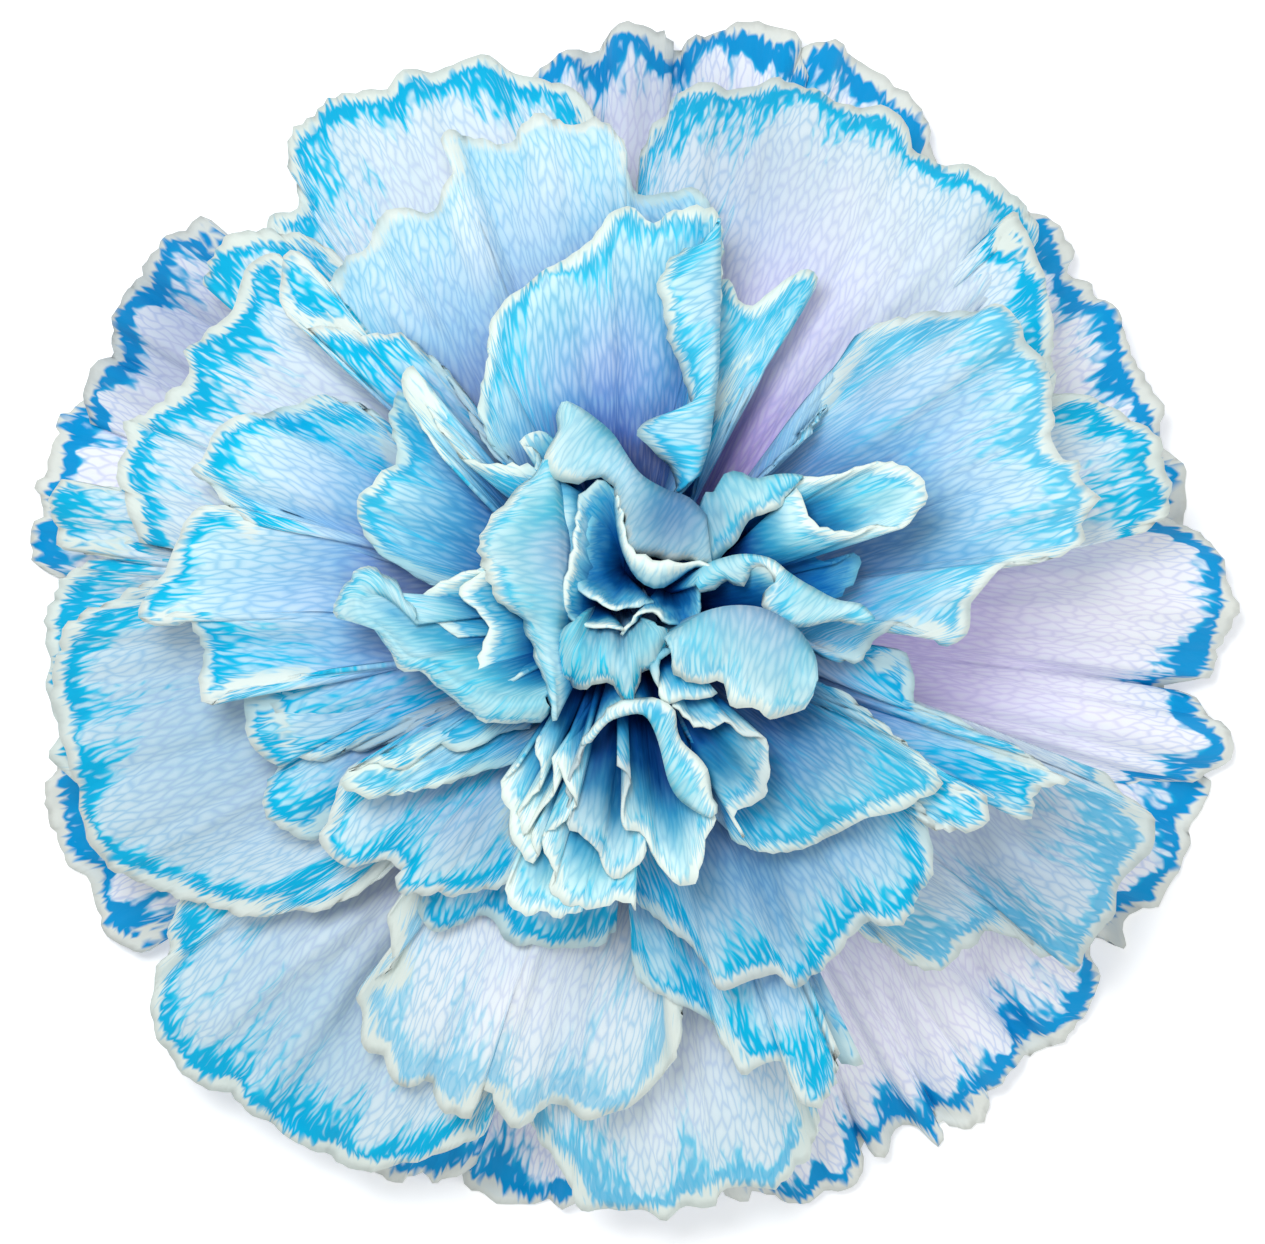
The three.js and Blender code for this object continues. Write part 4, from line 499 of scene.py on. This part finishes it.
def blade_surface(spec, seed):
    """The petal's middle surface as a grid of points, root row first, in millimetres."""
    row = ROWS[spec["row"]]
    lift = spec.get("lift", 0)
    length = even_line(spec["margin"], 8)[1]
    across = max(8, round(length / CELL_ACROSS))
    rim, length = even_line(spec["margin"], across)
    middle = rim.mean(axis=0)
    out = middle / max(np.hypot(*middle), 1e-6)
    root_at = np.array(spec.get("root", out * row["root_r"]), float)
    spoke = rim - root_at
    swept = np.sum(spoke[:-1, 0] * spoke[1:, 1] - spoke[:-1, 1] * spoke[1:, 0])
    side = (np.linspace(0, 1, across + 1) - 0.5) * row["claw"] * (1 if swept >= 0 else -1)
    root_z = np.full(across + 1, row["root_z"])
    root = np.stack([root_at[0] - out[1] * side, root_at[1] + out[0] * side, root_z], axis=1)
    rim_z = margin_height(row, rim, lift)
    heading = np.gradient(rim, axis=0)
    heading /= np.linalg.norm(heading, axis=1)[:, None] + 1e-9
    outward = np.stack([heading[:, 1], -heading[:, 0]], axis=1)
    outward *= np.sign(np.sum(outward * (rim - root_at), axis=1).sum())
    rim = rim + outward * (teeth_along(length, across, seed) - 0.5)[:, None] * TOOTH_DEPTH
    rim = np.concatenate([rim, rim_z[:, None]], axis=1)
    fold = None
    if "fold" in spec:
        fold = even_line(spec["fold"], across)[0]
        fold_z = margin_height(row, fold, lift + spec.get("fold_lift", 1))
        fold = np.concatenate([fold, fold_z[:, None]], axis=1)
    end = rim if fold is None else fold
    knee = root + [0, 0, row["rise"]]
    crest = knee + (end - knee) * row["reach"] + [0, 0, row["arch"] + spec.get("hump", 0)]
    reach_length = np.linalg.norm(end - root, axis=1).mean() * BLADE_SLACK
    rows_up = max(6, round(reach_length / CELL_ALONG))
    t = np.linspace(0, 1, rows_up + 1)[:, None, None]
    grid = bezier(root[None], knee[None], crest[None], end[None], t)
    v = t[:, 0, 0] * (1 if fold is None else 0.5)
    if fold is not None:
        width = np.linalg.norm(rim - fold, axis=1).mean()
        rows_over = max(5, round(width / CELL_ALONG))
        t = np.linspace(0, 1, rows_over + 1)[1:, None, None]
        flap = fold[None] + (rim - fold)[None] * t
        flap[..., 2] += spec.get("arch", 1) * 4 * (t * (1 - t))[..., 0]
        grid = np.concatenate([grid, flap])
        v = np.concatenate([v, 0.5 + 0.5 * t[:, 0, 0]])
    grid[..., 2] += row_wave(row, grid[..., 0], grid[..., 1]) * (v ** 2)[:, None]
    for crease in spec.get("creases", ()):
        grid[..., 2] += crease_height(grid[..., 0], grid[..., 1], crease)
    ends = smooth(np.minimum(np.arange(across + 1), np.arange(across, -1, -1)) * CELL_ACROSS, 0, ENDS_FADE)
    frill = frill_along(length, across, seed) * row["frill"] * ends
    normal = surface_normals(grid)
    grid = grid + normal * (frill[None] * (smooth(v, FRILL_START, 1) ** 1.5)[:, None])[..., None]
    curl = LIP_CURL * (0.35 + 0.65 * frill_along(length, across, seed + CURL_SEED)) * ends
    grid[..., 2] += curl[None] * (1 - smooth(distance_to_margin(grid), 0, LIP_CURL_WIDTH))
    grid[..., 2] = np.maximum(grid[..., 2], PETAL_THICKNESS / 2)
    return grid, v, length


def surface_normals(grid):
    """The unit normal at each point of a grid."""
    across = np.gradient(grid, axis=1)
    along = np.gradient(grid, axis=0)
    normal = np.cross(across, along)
    return normal / (np.linalg.norm(normal, axis=2)[..., None] + 1e-9)


def distance_to_margin(grid):
    """How far each point lies from the petal's free margin, in millimetres."""
    rim = grid[-1]
    flat = grid.reshape(-1, 3)
    nearest = np.full(len(flat), 1e9)
    for start in range(0, len(rim), POINTS_AT_ONCE):
        part = rim[start:start + POINTS_AT_ONCE]
        gaps = np.linalg.norm(flat[:, None] - part[None], axis=2)
        nearest = np.minimum(nearest, gaps.min(axis=1))
    return nearest.reshape(grid.shape[:2])


def closed_faces(rows, columns):
    """Faces of a thin closed blade: an upper sheet, a lower sheet and a strip round the edge."""
    index = np.arange(rows * columns).reshape(rows, columns)
    low = rows * columns
    a, b, c, d = index[:-1, :-1], index[:-1, 1:], index[1:, 1:], index[1:, :-1]
    upper = np.stack([a, b, c, d], axis=2).reshape(-1, 4)
    lower = np.stack([d, c, b, a], axis=2).reshape(-1, 4) + low
    ring = np.concatenate([index[0, :], index[1:, -1], index[-1, -2::-1], index[-2:0:-1, 0]])
    following = np.roll(ring, -1)
    edge = np.stack([following, ring, ring + low, following + low], axis=1)
    return np.concatenate([upper, lower, edge])


def map_cell(x, y):
    """The height map's cell over each plan point."""
    column = np.clip(((x + MAP_HALF) / MAP_CELL).astype(int), 0, MAP_CELLS - 1)
    line = np.clip(((y + MAP_HALF) / MAP_CELL).astype(int), 0, MAP_CELLS - 1)
    return line, column


def height_map(grids):
    """The highest petal over each cell of a square plan grid, in millimetres."""
    top = np.zeros((MAP_CELLS, MAP_CELLS))
    for grid in grids:
        np.maximum.at(top, map_cell(grid[..., 0], grid[..., 1]), grid[..., 2])
    return top


def hidden_sky(grid, top):
    """How much of the sky the petals round about hide from each point, 0 to 1."""
    x, y, z = grid[..., 0], grid[..., 1], grid[..., 2]
    hidden = np.zeros_like(x)
    for turn in np.arange(SKY_DIRECTIONS) * 2 * math.pi / SKY_DIRECTIONS:
        steepest = np.zeros_like(x)
        for reach in SKY_REACHES:
            over = top[map_cell(x + reach * math.cos(turn), y + reach * math.sin(turn))]
            steepest = np.maximum(steepest, (over - z - SKY_CLEARANCE) / reach)
        hidden += steepest / np.sqrt(1 + steepest ** 2) / SKY_DIRECTIONS
    return hidden


def petal_piece_data(spec, seed, blade, top):
    """Vertices in millimetres, faces, and the values that the petal materials read at each vertex."""
    grid, v, length = blade
    rows, columns = grid.shape[:2]
    inward = distance_to_margin(grid)
    skip_start, skip_end = spec.get("bare", (0, 0))
    run = np.linspace(0, length, columns)[None]
    bare = 0
    if skip_start:
        bare = 1 - smooth(run, skip_start - UNDYED_EDGE, skip_start + UNDYED_EDGE)
    if skip_end:
        bare = bare + smooth(run, length - skip_end - UNDYED_EDGE, length - skip_end + UNDYED_EDGE)
    painted = inward + UNDYED_DEPTH * bare
    normal = surface_normals(grid)
    half = (LIP_THICKNESS + (PETAL_THICKNESS - LIP_THICKNESS) * smooth(inward, 0, LIP_DEPTH)) / 2
    upper = grid + normal * half[..., None]
    lower = grid - normal * half[..., None]
    both = np.concatenate([upper.reshape(-1, 3), lower.reshape(-1, 3)])
    both[:, 2] = np.maximum(both[:, 2], 0)
    rim_run = np.broadcast_to(np.linspace(-length / 2, length / 2, columns)[None], (rows, columns))
    steps = np.linalg.norm(np.diff(grid, axis=1), axis=2)
    row_run = np.concatenate([np.zeros((rows, 1)), np.cumsum(steps, axis=1)], axis=1)
    row_run = row_run - row_run[:, columns // 2][:, None]
    across = row_run * (1 - FAN_SHARE) + rim_run * FAN_SHARE + seed * PATTERN_SHIFT
    steps = np.linalg.norm(np.diff(grid, axis=0), axis=2)
    along = np.concatenate([np.zeros((1, columns)), np.cumsum(steps, axis=0)])
    along = along - along[-1][None]
    place = np.stack([across, along, np.zeros((rows, columns))], axis=2).reshape(-1, 3)
    share = 1 - along / along[0][None]
    x, y = grid[..., 0], grid[..., 1]
    # How much of the sky the petals round about hide from each point, which the materials paint as shade.
    values = dict(inward=painted, share=share, hollow=hidden_sky(grid, top) * spec.get("hollow", 1),
                  band=np.full_like(x, spec.get("band", ROWS[spec["row"]]["dye"])))
    for name in ("cyan", "lilac", "shade", "pale"):
        values[name] = spot(x, y, spec.get(name, ()))
    return dict(points=both, faces=closed_faces(rows, columns), place=np.concatenate([place, place]),
                values={name: np.tile(value.reshape(-1), 2) for name, value in values.items()})


def new_piece(name, points, faces, material, node):
    """A mesh object from points in millimetres, riding on the frame in place of the solid node."""
    mesh = bpy.data.meshes.new(name)
    mesh.from_pydata((np.array(points) * MM).tolist(), [], [list(face) for face in faces])
    mesh.polygons.foreach_set("use_smooth", [True] * len(mesh.polygons))
    mesh.update()
    mesh.materials.append(material)
    piece = bpy.data.objects.new(name, mesh)
    bpy.context.scene.collection.objects.link(piece)
    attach(piece, "root")
    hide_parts(node)
    return piece


def petal_row(row_name, blades, top, material):
    """All petals of a row as one piece."""
    made = [petal_piece_data(spec, number + 1, blades[number], top)
            for number, spec in enumerate(PETALS) if spec["row"] == row_name]
    starts = np.cumsum([0] + [len(data["points"]) for data in made])
    faces = np.concatenate([data["faces"] + start for data, start in zip(made, starts)])
    points = np.concatenate([data["points"] for data in made])
    mesh = new_piece(f"{row_name}_petals", points, faces, material, "petals").data
    place = np.concatenate([data["place"] for data in made]).astype(np.float32)
    mesh.attributes.new("place", "FLOAT_VECTOR", "POINT").data.foreach_set("vector", place.reshape(-1))
    for name in made[0]["values"]:
        values = np.concatenate([data["values"][name] for data in made]).astype(np.float32)
        mesh.attributes.new(name, "FLOAT", "POINT").data.foreach_set("value", values)
    print(row_name, "triangles", 2 * len(mesh.polygons))


class Nodes:
    """Short calls for building a material's node tree."""

    def __init__(self, name):
        self.material = bpy.data.materials.new(name)
        self.material.use_nodes = True
        self.tree = self.material.node_tree
        self.shader = self.tree.nodes["Principled BSDF"]

    def add(self, kind, inputs=(), **settings):
        node = self.tree.nodes.new(kind)
        for key, value in settings.items():
            setattr(node, key, value)
        for key, value in dict(inputs).items():
            self.put(value, node.inputs[key])
        return node

    def put(self, value, socket):
        """Links a socket to another, or sets it; text is a screen colour."""
        if isinstance(value, bpy.types.NodeSocket):
            self.tree.links.new(value, socket)
        else:
            socket.default_value = hex_colour(value) if isinstance(value, str) else value

    def math(self, operation, a, b=0.0, c=0.0):
        return self.add("ShaderNodeMath", {0: a, 1: b, 2: c}, operation=operation).outputs[0]

    def times(self, a, b):
        return self.math("MULTIPLY", a, b)

    def value(self, name):
        return self.add("ShaderNodeAttribute", attribute_name=name).outputs["Fac"]

    def vector(self, name):
        return self.add("ShaderNodeAttribute", attribute_name=name).outputs["Vector"]

    def scaled(self, vector, scale):
        return self.add("ShaderNodeVectorMath", {0: vector, 1: scale}, operation="MULTIPLY").outputs[0]

    def noise(self, vector, scale=1.0, detail=2.0, dimensions="3D"):
        return self.add("ShaderNodeTexNoise", {"Vector": vector, "Scale": scale, "Detail": detail},
                        noise_dimensions=dimensions).outputs["Fac"]

    def grain(self, place, across, along, detail=2.0):
        """Noise over the petal's own plane, with so many cells to the millimetre each way."""
        return self.noise(self.scaled(place, (across, along, 1)), 1.0, detail, "2D")

    def range(self, value, low, high, to_low=0.0, to_high=1.0):
        return self.add("ShaderNodeMapRange", {"Value": value, "From Min": low, "From Max": high,
                                               "To Min": to_low, "To Max": to_high},
                        interpolation_type="SMOOTHSTEP").outputs["Result"]

    def lozenges(self, vector, across, along, randomness):
        """How far a point lies inside the long pointed cells that the vein lines enclose."""
        scaled = self.scaled(vector, (across, along, 1))
        turned = self.add("ShaderNodeVectorRotate", {"Vector": scaled, "Angle": math.radians(45)},
                          rotation_type="Z_AXIS").outputs[0]
        return self.add("ShaderNodeTexVoronoi", {"Vector": turned, "Scale": 1.0, "Randomness": randomness},
                        voronoi_dimensions="2D", feature="DISTANCE_TO_EDGE").outputs["Distance"]

    def mix(self, factor, a, b, blend="MIX"):
        node = self.add("ShaderNodeMix", data_type="RGBA", blend_type=blend)
        self.put(factor, node.inputs[0])
        self.put(a, node.inputs[6])
        self.put(b, node.inputs[7])
        return node.outputs[2]

    def ramp(self, value, stops):
        node = self.add("ShaderNodeValToRGB", {"Fac": value})
        elements = node.color_ramp.elements
        while len(elements) > 1:
            elements.remove(elements[-1])
        elements[0].position = stops[0][0]
        elements[0].color = hex_colour(stops[0][1])
        for position, colour in stops[1:]:
            elements.new(position).color = hex_colour(colour)
        return node.outputs["Color"]


def hex_colour(text):
    """A linear colour from a screen colour written as six hexadecimal digits."""
    values = [int(text[i:i + 2], 16) / 255 for i in (0, 2, 4)]
    linear = [v / 12.92 if v <= 0.04045 else ((v + 0.055) / 1.055) ** 2.4 for v in values]
    return (*linear, 1)


# Colours of each row: lip, dye band (deep and bright), body near the band, mid body and base, vein lines,
# and the wash behind the dye; the blue bases of the middle, inner and heart rows are partly their own tint
# and partly painted shade. Its lip and band widths and the length of its streaks are in millimetres, and
# strokes is how many strokes of dye lie side by side on each. fill, net and hollow are shares, where
# hollow is how strongly the row takes painted shade where neighbours hide the sky, and
# tint_and_shade_fall is how fast the body darkens with each millimetre from the margin, partly as the
# petals' own deeper tint and partly as painted shade.
PALETTES = {
    "guard": dict(lip="DEE2DC", band="0094D4", bright="04AEE2", body="F0F2FA", middle="F0EEFF", base="DECCFC",
                  vein="B4ACE2", dyed_vein="9CBAEA", wash="A4D4F0",
                  lip_width=0.7, band_width=1.6, streak=2, strokes=1.5, fill=0.4, net=0.26, hollow=0.05,
                  tint_and_shade_fall=0),
    "outer": dict(lip="DCE6E0", band="00AEDC", bright="08C2E8", body="D2E4EC", middle="D8E4F0", base="CEC8F2",
                  vein="98A8E0", dyed_vein="6CBAE2", wash="98D8EC",
                  lip_width=0.7, band_width=0.85, streak=3.4, strokes=2.1, fill=0.4, net=0.26, hollow=0.1,
                  tint_and_shade_fall=0),
    "middle": dict(lip="DEEAE6", band="00B4E0", bright="0CC8EC", body="C2E6F0", middle="A0C8EA",
                   base="6888D4", vein="6890D8", dyed_vein="54B4E0", wash="94DAEE",
                   lip_width=0.5, band_width=0.5, streak=3.4, strokes=2.2, fill=0.35, net=0.24, hollow=0.5,
                   tint_and_shade_fall=0.01),
    "inner": dict(lip="DEEEE8", band="04B0D8", bright="18C6EA", body="A4DCE8", middle="66B4D8", base="3C7CC0",
                  vein="4484C8", dyed_vein="3CA4D2", wash="7CD0E8",
                  lip_width=0.4, band_width=0.35, streak=2.4, strokes=2.4, fill=0.33, net=0.24, hollow=0.7,
                  tint_and_shade_fall=0.035),
    "heart": dict(lip="E2F0EA", band="0CAAD6", bright="2CC2E2", body="B4E4E8", middle="50B2CA", base="1C74AC",
                  vein="3C8CC0", dyed_vein="40A0CC", wash="88D4E4",
                  lip_width=0.4, band_width=0.15, streak=1.5, strokes=2.6, fill=0.28, net=0.14, hollow=1,
                  tint_and_shade_fall=0.08),
}

# The pale tint is partly the petals' own paler colour and partly painted light on places in shade.
SPOT_TINTS = {"cyan": "8CCCE4", "pale": "F6F6FA", "lilac": "CCAEF0"}


def petal_material(row_name):
    """Petal skin: a pale lip, dye strokes that thin out inwards, and a netted body, bluer at the base partly
    as its own tint and partly as painted shade, with more painted shade in hollows and in shade spots.
    """
    palette = PALETTES[row_name]
    n = Nodes(f"{row_name}_petal_skin")
    place = n.vector("place")
    inward = n.value("inward")
    down_vein = n.times(n.add("ShaderNodeSeparateXYZ", {0: place}).outputs["Y"], -0.22)
    bend = n.math("SUBTRACT", n.grain(place, 0.45, 0.22), 0.5)
    sideways = n.add("ShaderNodeCombineXYZ", {"X": bend}).outputs[0]
    bent = n.add("ShaderNodeVectorMath", {0: place, 1: sideways}, operation="ADD").outputs[0]
    net = n.lozenges(bent, 2.2, 0.48, 0.7)
    fingers = n.lozenges(bent, palette["strokes"], 0.38, 0.8)
    lip_edge = n.times(n.range(n.grain(place, 0.2, 0.03, 1), 0.25, 0.75, 0.3, 1.9), palette["lip_width"])
    past_lip = n.math("SUBTRACT", inward, lip_edge)
    in_lip = n.range(n.math("ADD", past_lip, n.math("MULTIPLY_ADD", fingers, 1.6, -0.3)), 0.35, -0.25)
    clump = n.range(n.grain(place, 0.22, 0.06, 1), 0.3, 0.7, 0.25, 1.6)
    fine = n.range(n.grain(place, 1.6, 0.2, 1), 0.25, 0.75, 0.4, 1.5)
    reach = n.times(n.times(clump, fine), palette["streak"])
    band_edge = n.times(n.range(n.grain(place, 0.3, 0.02, 1), 0.3, 0.7, 0.4, 1.6), palette["band_width"])
    past_band = n.math("SUBTRACT", n.math("MULTIPLY_ADD", past_lip, 0.78, down_vein), band_edge)
    spent = n.math("DIVIDE", past_band, reach)
    width = n.times(n.math("SUBTRACT", 1.0, spent), palette["fill"])
    fading = n.times(n.range(spent, 1.1, 0.3, 0.6, 1.0), n.value("band"))
    dye = n.times(n.range(n.math("SUBTRACT", width, fingers), -0.16, 0.16), fading)
    wash = n.times(n.range(spent, 1.3, 0.2, 0.0, 0.55), n.value("band"))
    vein = n.range(net, 0.2, 0.0)
    near_margin = n.range(inward, 9.0, 2.0)
    # The body darkens from the margin towards the base, partly as the petals' own deeper tint and partly as
    # painted shade, most in the heart rows.
    height = n.math("SUBTRACT", n.value("share"), n.times(inward, palette["tint_and_shade_fall"]))
    body = n.ramp(height, [(0.15, palette["base"]), (0.55, palette["middle"]), (0.9, palette["body"])])
    tone = n.grain(place, 0.12, 0.08)
    body = n.mix(n.range(tone, 0.35, 0.75, 0.0, 0.25), body, "F4F7FA")
    # Spot tints: cyan and lilac are the petals' own colour; pale is partly their own paler colour and partly
    # painted light.
    for name, tint in SPOT_TINTS.items():
        body = n.mix(n.value(name), body, tint)
    body = n.mix(n.range(inward, 2.4, 0.2, 0.0, 0.45), body, "DDF3F8")
    body = n.mix(n.range(net, 0.12, 0.4, 0.0, 0.9 * palette["net"]), body, "F0FAFC")
    vein_colour = n.mix(near_margin, palette["vein"], palette["dyed_vein"])
    vein = n.times(n.times(vein, n.math("MULTIPLY_ADD", near_margin, 0.8, 1.0)), palette["net"])
    body = n.mix(vein, body, vein_colour)
    body = n.mix(wash, body, palette["wash"])
    dye_colour = n.mix(n.range(spent, 0.0, 0.7), palette["band"], palette["bright"])
    colour = n.mix(dye, body, dye_colour)
    colour = n.mix(in_lip, colour, palette["lip"])
    # Painted shade: the colour is multiplied towards deep blue the more sky the neighbouring petals hide, and
    # towards grey-blue in the shade spots.
    depth = n.ramp(n.value("hollow"), [(0.2, "FFFFFF"), (0.45, "88CCE8"), (0.7, "2080C0"), (0.95, "0C4488")])
    colour = n.mix(palette["hollow"], colour, depth, "MULTIPLY")
    colour = n.mix(n.value("shade"), colour, "8098B8", "MULTIPLY")
    n.put(colour, n.shader.inputs["Base Color"])
    n.put(n.range(fine, 0.3, 1.4, 0.48, 0.62), n.shader.inputs["Roughness"])
    n.shader.inputs["Specular IOR Level"].default_value = 0.08
    ripple = n.grain(place, 2.2, 0.4, 1)
    bump = n.add("ShaderNodeBump", {"Height": ripple, "Strength": 0.25, "Distance": 0.0002})
    n.put(bump.outputs["Normal"], n.shader.inputs["Normal"])
    return n.material


def green_material(name, light, dark):
    """Waxy green skin with fine lengthwise veins and a paler bloom in patches."""
    n = Nodes(name)
    where = n.add("ShaderNodeTexCoord").outputs["Object"]
    patches = n.noise(where, 160, 3)
    lines = n.noise(n.scaled(where, (1, 1, 0.06)), 1600, 2)
    colour = n.mix(n.range(patches, 0.35, 0.7), dark, light)
    colour = n.mix(n.range(lines, 0.5, 0.7, 0.0, 0.45), colour, "C3D3A4")
    n.put(colour, n.shader.inputs["Base Color"])
    n.put(n.range(patches, 0.3, 0.7, 0.42, 0.62), n.shader.inputs["Roughness"])
    bump = n.add("ShaderNodeBump", {"Height": lines, "Strength": 0.3, "Distance": 0.0003})
    n.put(bump.outputs["Normal"], n.shader.inputs["Normal"])
    return n.material


def floor_material():
    """Matt white paper, a little lighter than its light alone would make it."""
    n = Nodes("floor_white")
    n.shader.inputs["Base Color"].default_value = hex_colour("F4F5F6")
    n.shader.inputs["Roughness"].default_value = 0.9
    n.shader.inputs["Emission Color"].default_value = (1, 1, 1, 1)
    n.shader.inputs["Emission Strength"].default_value = 0.3
    return n.material


def ring_faces(rings, steps):
    """Quads between rings of equal point count, each ring given by its first index."""
    faces = []
    for low, high in zip(rings, rings[1:]):
        for i in range(steps):
            k = (i + 1) % steps
            faces.append((low + i, low + k, high + k, high + i))
    return faces


def turned_rings(levels, steps, radius_at):
    """Rings of points round the axis; radius_at(turn, level) gives the radius and the height."""
    points = []
    rings = []
    for level in levels:
        rings.append(len(points))
        for i in range(steps):
            turn = 2 * math.pi * i / steps
            radius, height = radius_at(turn, level)
            points.append((radius * math.cos(turn), radius * math.sin(turn), height))
    return points, rings


def turned_piece(name, levels, steps, radius_at, material, node):
    """A closed piece of rings round the axis, with a flat face at each end."""
    points, rings = turned_rings(levels, steps, radius_at)
    faces = ring_faces(rings, steps)
    faces.append(tuple(range(rings[0] + steps - 1, rings[0] - 1, -1)))
    faces.append(tuple(range(rings[-1], rings[-1] + steps)))
    new_piece(name, points, faces, material, node)


CALYX = dict(bottom=3.5, floor=5.2, mouth=18.6, tooth=2.6, teeth=5, wall=0.8, flare=0.5,
             outline=[(3.5, 3.4), (5, 5.6), (8, 6.9), (12, 7.3), (18.6, 7.4)],
             bracts=4, bract_top=11.5, bract_relief=0.7, bract_half_width=0.62, rib=0.06, ribs=35)


def calyx_radius(z):
    """The tube's outer radius at a height."""
    heights, radii = zip(*CALYX["outline"])
    return float(np.interp(z, heights, radii))


def bract_relief(turn, z):
    """How far the pointed scales stand out of the lower part of the tube."""
    sector = 2 * math.pi / CALYX["bracts"]
    offset = abs(turn % sector - sector / 2)
    height = (z - CALYX["bottom"]) / (CALYX["bract_top"] - CALYX["bottom"])
    reach = CALYX["bract_half_width"] * (1 - max(height, 0) ** 1.6)
    if height >= 1 or offset >= reach:
        return 0
    return CALYX["bract_relief"] * min(1, (reach - offset) * 8) * (1 - 0.25 * max(height, 0))


def calyx_piece(material):
    """The green tube with five teeth round the petals' bases."""
    def tip(turn):
        phase = (turn * CALYX["teeth"] / (2 * math.pi)) % 1
        return 1 - abs(phase * 2 - 1)

    def skin(turn, level):
        inside, share = level
        top = CALYX["mouth"] + CALYX["tooth"] * tip(turn) ** 1.4
        z = CALYX["bottom"] + (CALYX["mouth"] - CALYX["bottom"]) * min(share, 1)
        flare = 0
        if share > 1:
            z = CALYX["mouth"] + (top - CALYX["mouth"]) * (share - 1)
            flare = CALYX["flare"] * tip(turn) * (share - 1)
        rib = CALYX["rib"] * math.cos(turn * CALYX["ribs"])
        if inside:
            z = max(z, CALYX["floor"])
            return calyx_radius(z) - CALYX["wall"] + flare, z
        return calyx_radius(z) + bract_relief(turn, z) + rib + flare, z

    outside = [(False, share) for share in np.linspace(0, 2, 60)]
    inner = [(True, share) for share in np.linspace(2, 0.1, 14)]
    turned_piece("green_calyx", outside + inner, 200, skin, material, "calyx")


def stem_piece(material):
    """The short cut stem with its swollen joint under the calyx."""
    outline = [(0.3, 0.0), (1.6, 0.02), (2.3, 0.0), (2.65, 0.06), (2.7, 0.4), (2.68, 1.0), (2.85, 1.5),
               (3.08, 2.1), (3.1, 2.7), (2.95, 3.1), (2.2, 3.2), (0.3, 3.2)]

    def skin(turn, level):
        radius, height = outline[level]
        return radius * (1 + 0.012 * math.cos(6 * turn)), height

    turned_piece("cut_stem", range(len(outline)), 64, skin, material, "stem")


def bundle_piece(material):
    """The petals' stalked bases, packed together inside the calyx and below the heart."""
    outline = [(0.3, 5.6), (4.2, 5.6), (5.6, 8.4), (6.0, 12), (6.2, 18.6), (6.2, 20.4), (6.7, 23.2),
               (6.7, 28), (5.2, 31.6), (3.2, 33.6), (0.3, 34.2)]
    levels = np.linspace(0, len(outline) - 1, 50)

    def skin(turn, level):
        low = min(int(level), len(outline) - 2)
        t = level - low
        radius = outline[low][0] + (outline[low + 1][0] - outline[low][0]) * t
        height = outline[low][1] + (outline[low + 1][1] - outline[low][1]) * t
        return radius - 0.12 * (1 + math.cos(turn * 22 + math.sin(height))), height

    turned_piece("petal_bases", levels, 90, skin, material, "petals")


def base_material():
    """Pale greenish white claws of the petals, deep blue in the shade of the heart."""
    n = Nodes("petal_bases_skin")
    where = n.add("ShaderNodeTexCoord").outputs["Object"]
    lines = n.noise(n.scaled(where, (1, 1, 0.08)), 1500, 2)
    height = n.add("ShaderNodeSeparateXYZ", {0: where}).outputs["Z"]
    colour = n.ramp(n.range(height, 0.018, 0.032), [(0.0, "C9D6B8"), (0.45, "B9CBE0"), (0.8, "2F7FC0")])
    colour = n.mix(n.times(lines, 0.3), colour, "EDF3F0")
    n.put(colour, n.shader.inputs["Base Color"])
    n.shader.inputs["Roughness"].default_value = 0.6
    bump = n.add("ShaderNodeBump", {"Height": lines, "Strength": 0.4, "Distance": 0.0004})
    n.put(bump.outputs["Normal"], n.shader.inputs["Normal"])
    return n.material


def area_light(name, place, aim, size, watts):
    """A round soft light at a place in metres, turned to its aim."""
    light = bpy.data.lights.new(name, "AREA")
    light.shape = "DISK"
    light.size = size
    light.energy = watts
    lamp = bpy.data.objects.new(name, light)
    lamp.location = place
    direction = np.array(aim) - np.array(place)
    lamp.rotation_euler = Vector(direction).to_track_quat("-Z", "Y").to_euler()
    bpy.context.scene.collection.objects.link(lamp)


def studio():
    """A pale floor, soft light from all round, a broad key from the upper left and a weak fill."""
    world = bpy.data.worlds.new("studio")
    bpy.context.scene.world = world
    world.use_nodes = True
    world.node_tree.nodes["Background"].inputs["Color"].default_value = (1, 1, 0.99, 1)
    world.node_tree.nodes["Background"].inputs["Strength"].default_value = 0.5
    bpy.context.scene.view_settings.view_transform = "Standard"
    size = 2.0
    depth = -0.2 * MM
    corners = [(-size, -size, depth), (size, -size, depth), (size, size, depth), (-size, size, depth)]
    mesh = bpy.data.meshes.new("floor")
    mesh.from_pydata(corners, [], [(0, 1, 2, 3)])
    mesh.materials.append(floor_material())
    floor = bpy.data.objects.new("floor", mesh)
    bpy.context.scene.collection.objects.link(floor)
    bloom = (0, 0, 0.02)
    area_light("key", (-0.17, 0.23, 0.85), bloom, 0.35, 5.2)
    area_light("fill", (0.6, -0.3, 0.6), bloom, 0.6, 1.5)


def camera():
    """Looks straight down from far away, framed as the photograph is."""
    frame_width = 84.33 * MM
    centre = (0.17 * MM, -0.47 * MM)
    distance = 2.0
    focus_height = 0.012
    data = bpy.data.cameras.new("camera")
    data.sensor_width = 36
    data.lens = data.sensor_width * (distance - focus_height) / frame_width
    data.clip_end = 10
    eye = bpy.data.objects.new("camera", data)
    eye.location = (*centre, distance)
    bpy.context.scene.collection.objects.link(eye)
    bpy.context.scene.camera = eye


camera()
studio()
blades = [blade_surface(spec, number + 1) for number, spec in enumerate(PETALS)]
petal_tops = height_map([blade[0] for blade in blades])
for row_name in ROWS:
    petal_row(row_name, blades, petal_tops, petal_material(row_name))
bundle_piece(base_material())
calyx_piece(green_material("calyx_green", "8FAE74", "5E8048"))
stem_piece(green_material("stem_green", "86A66C", "5A7D46"))
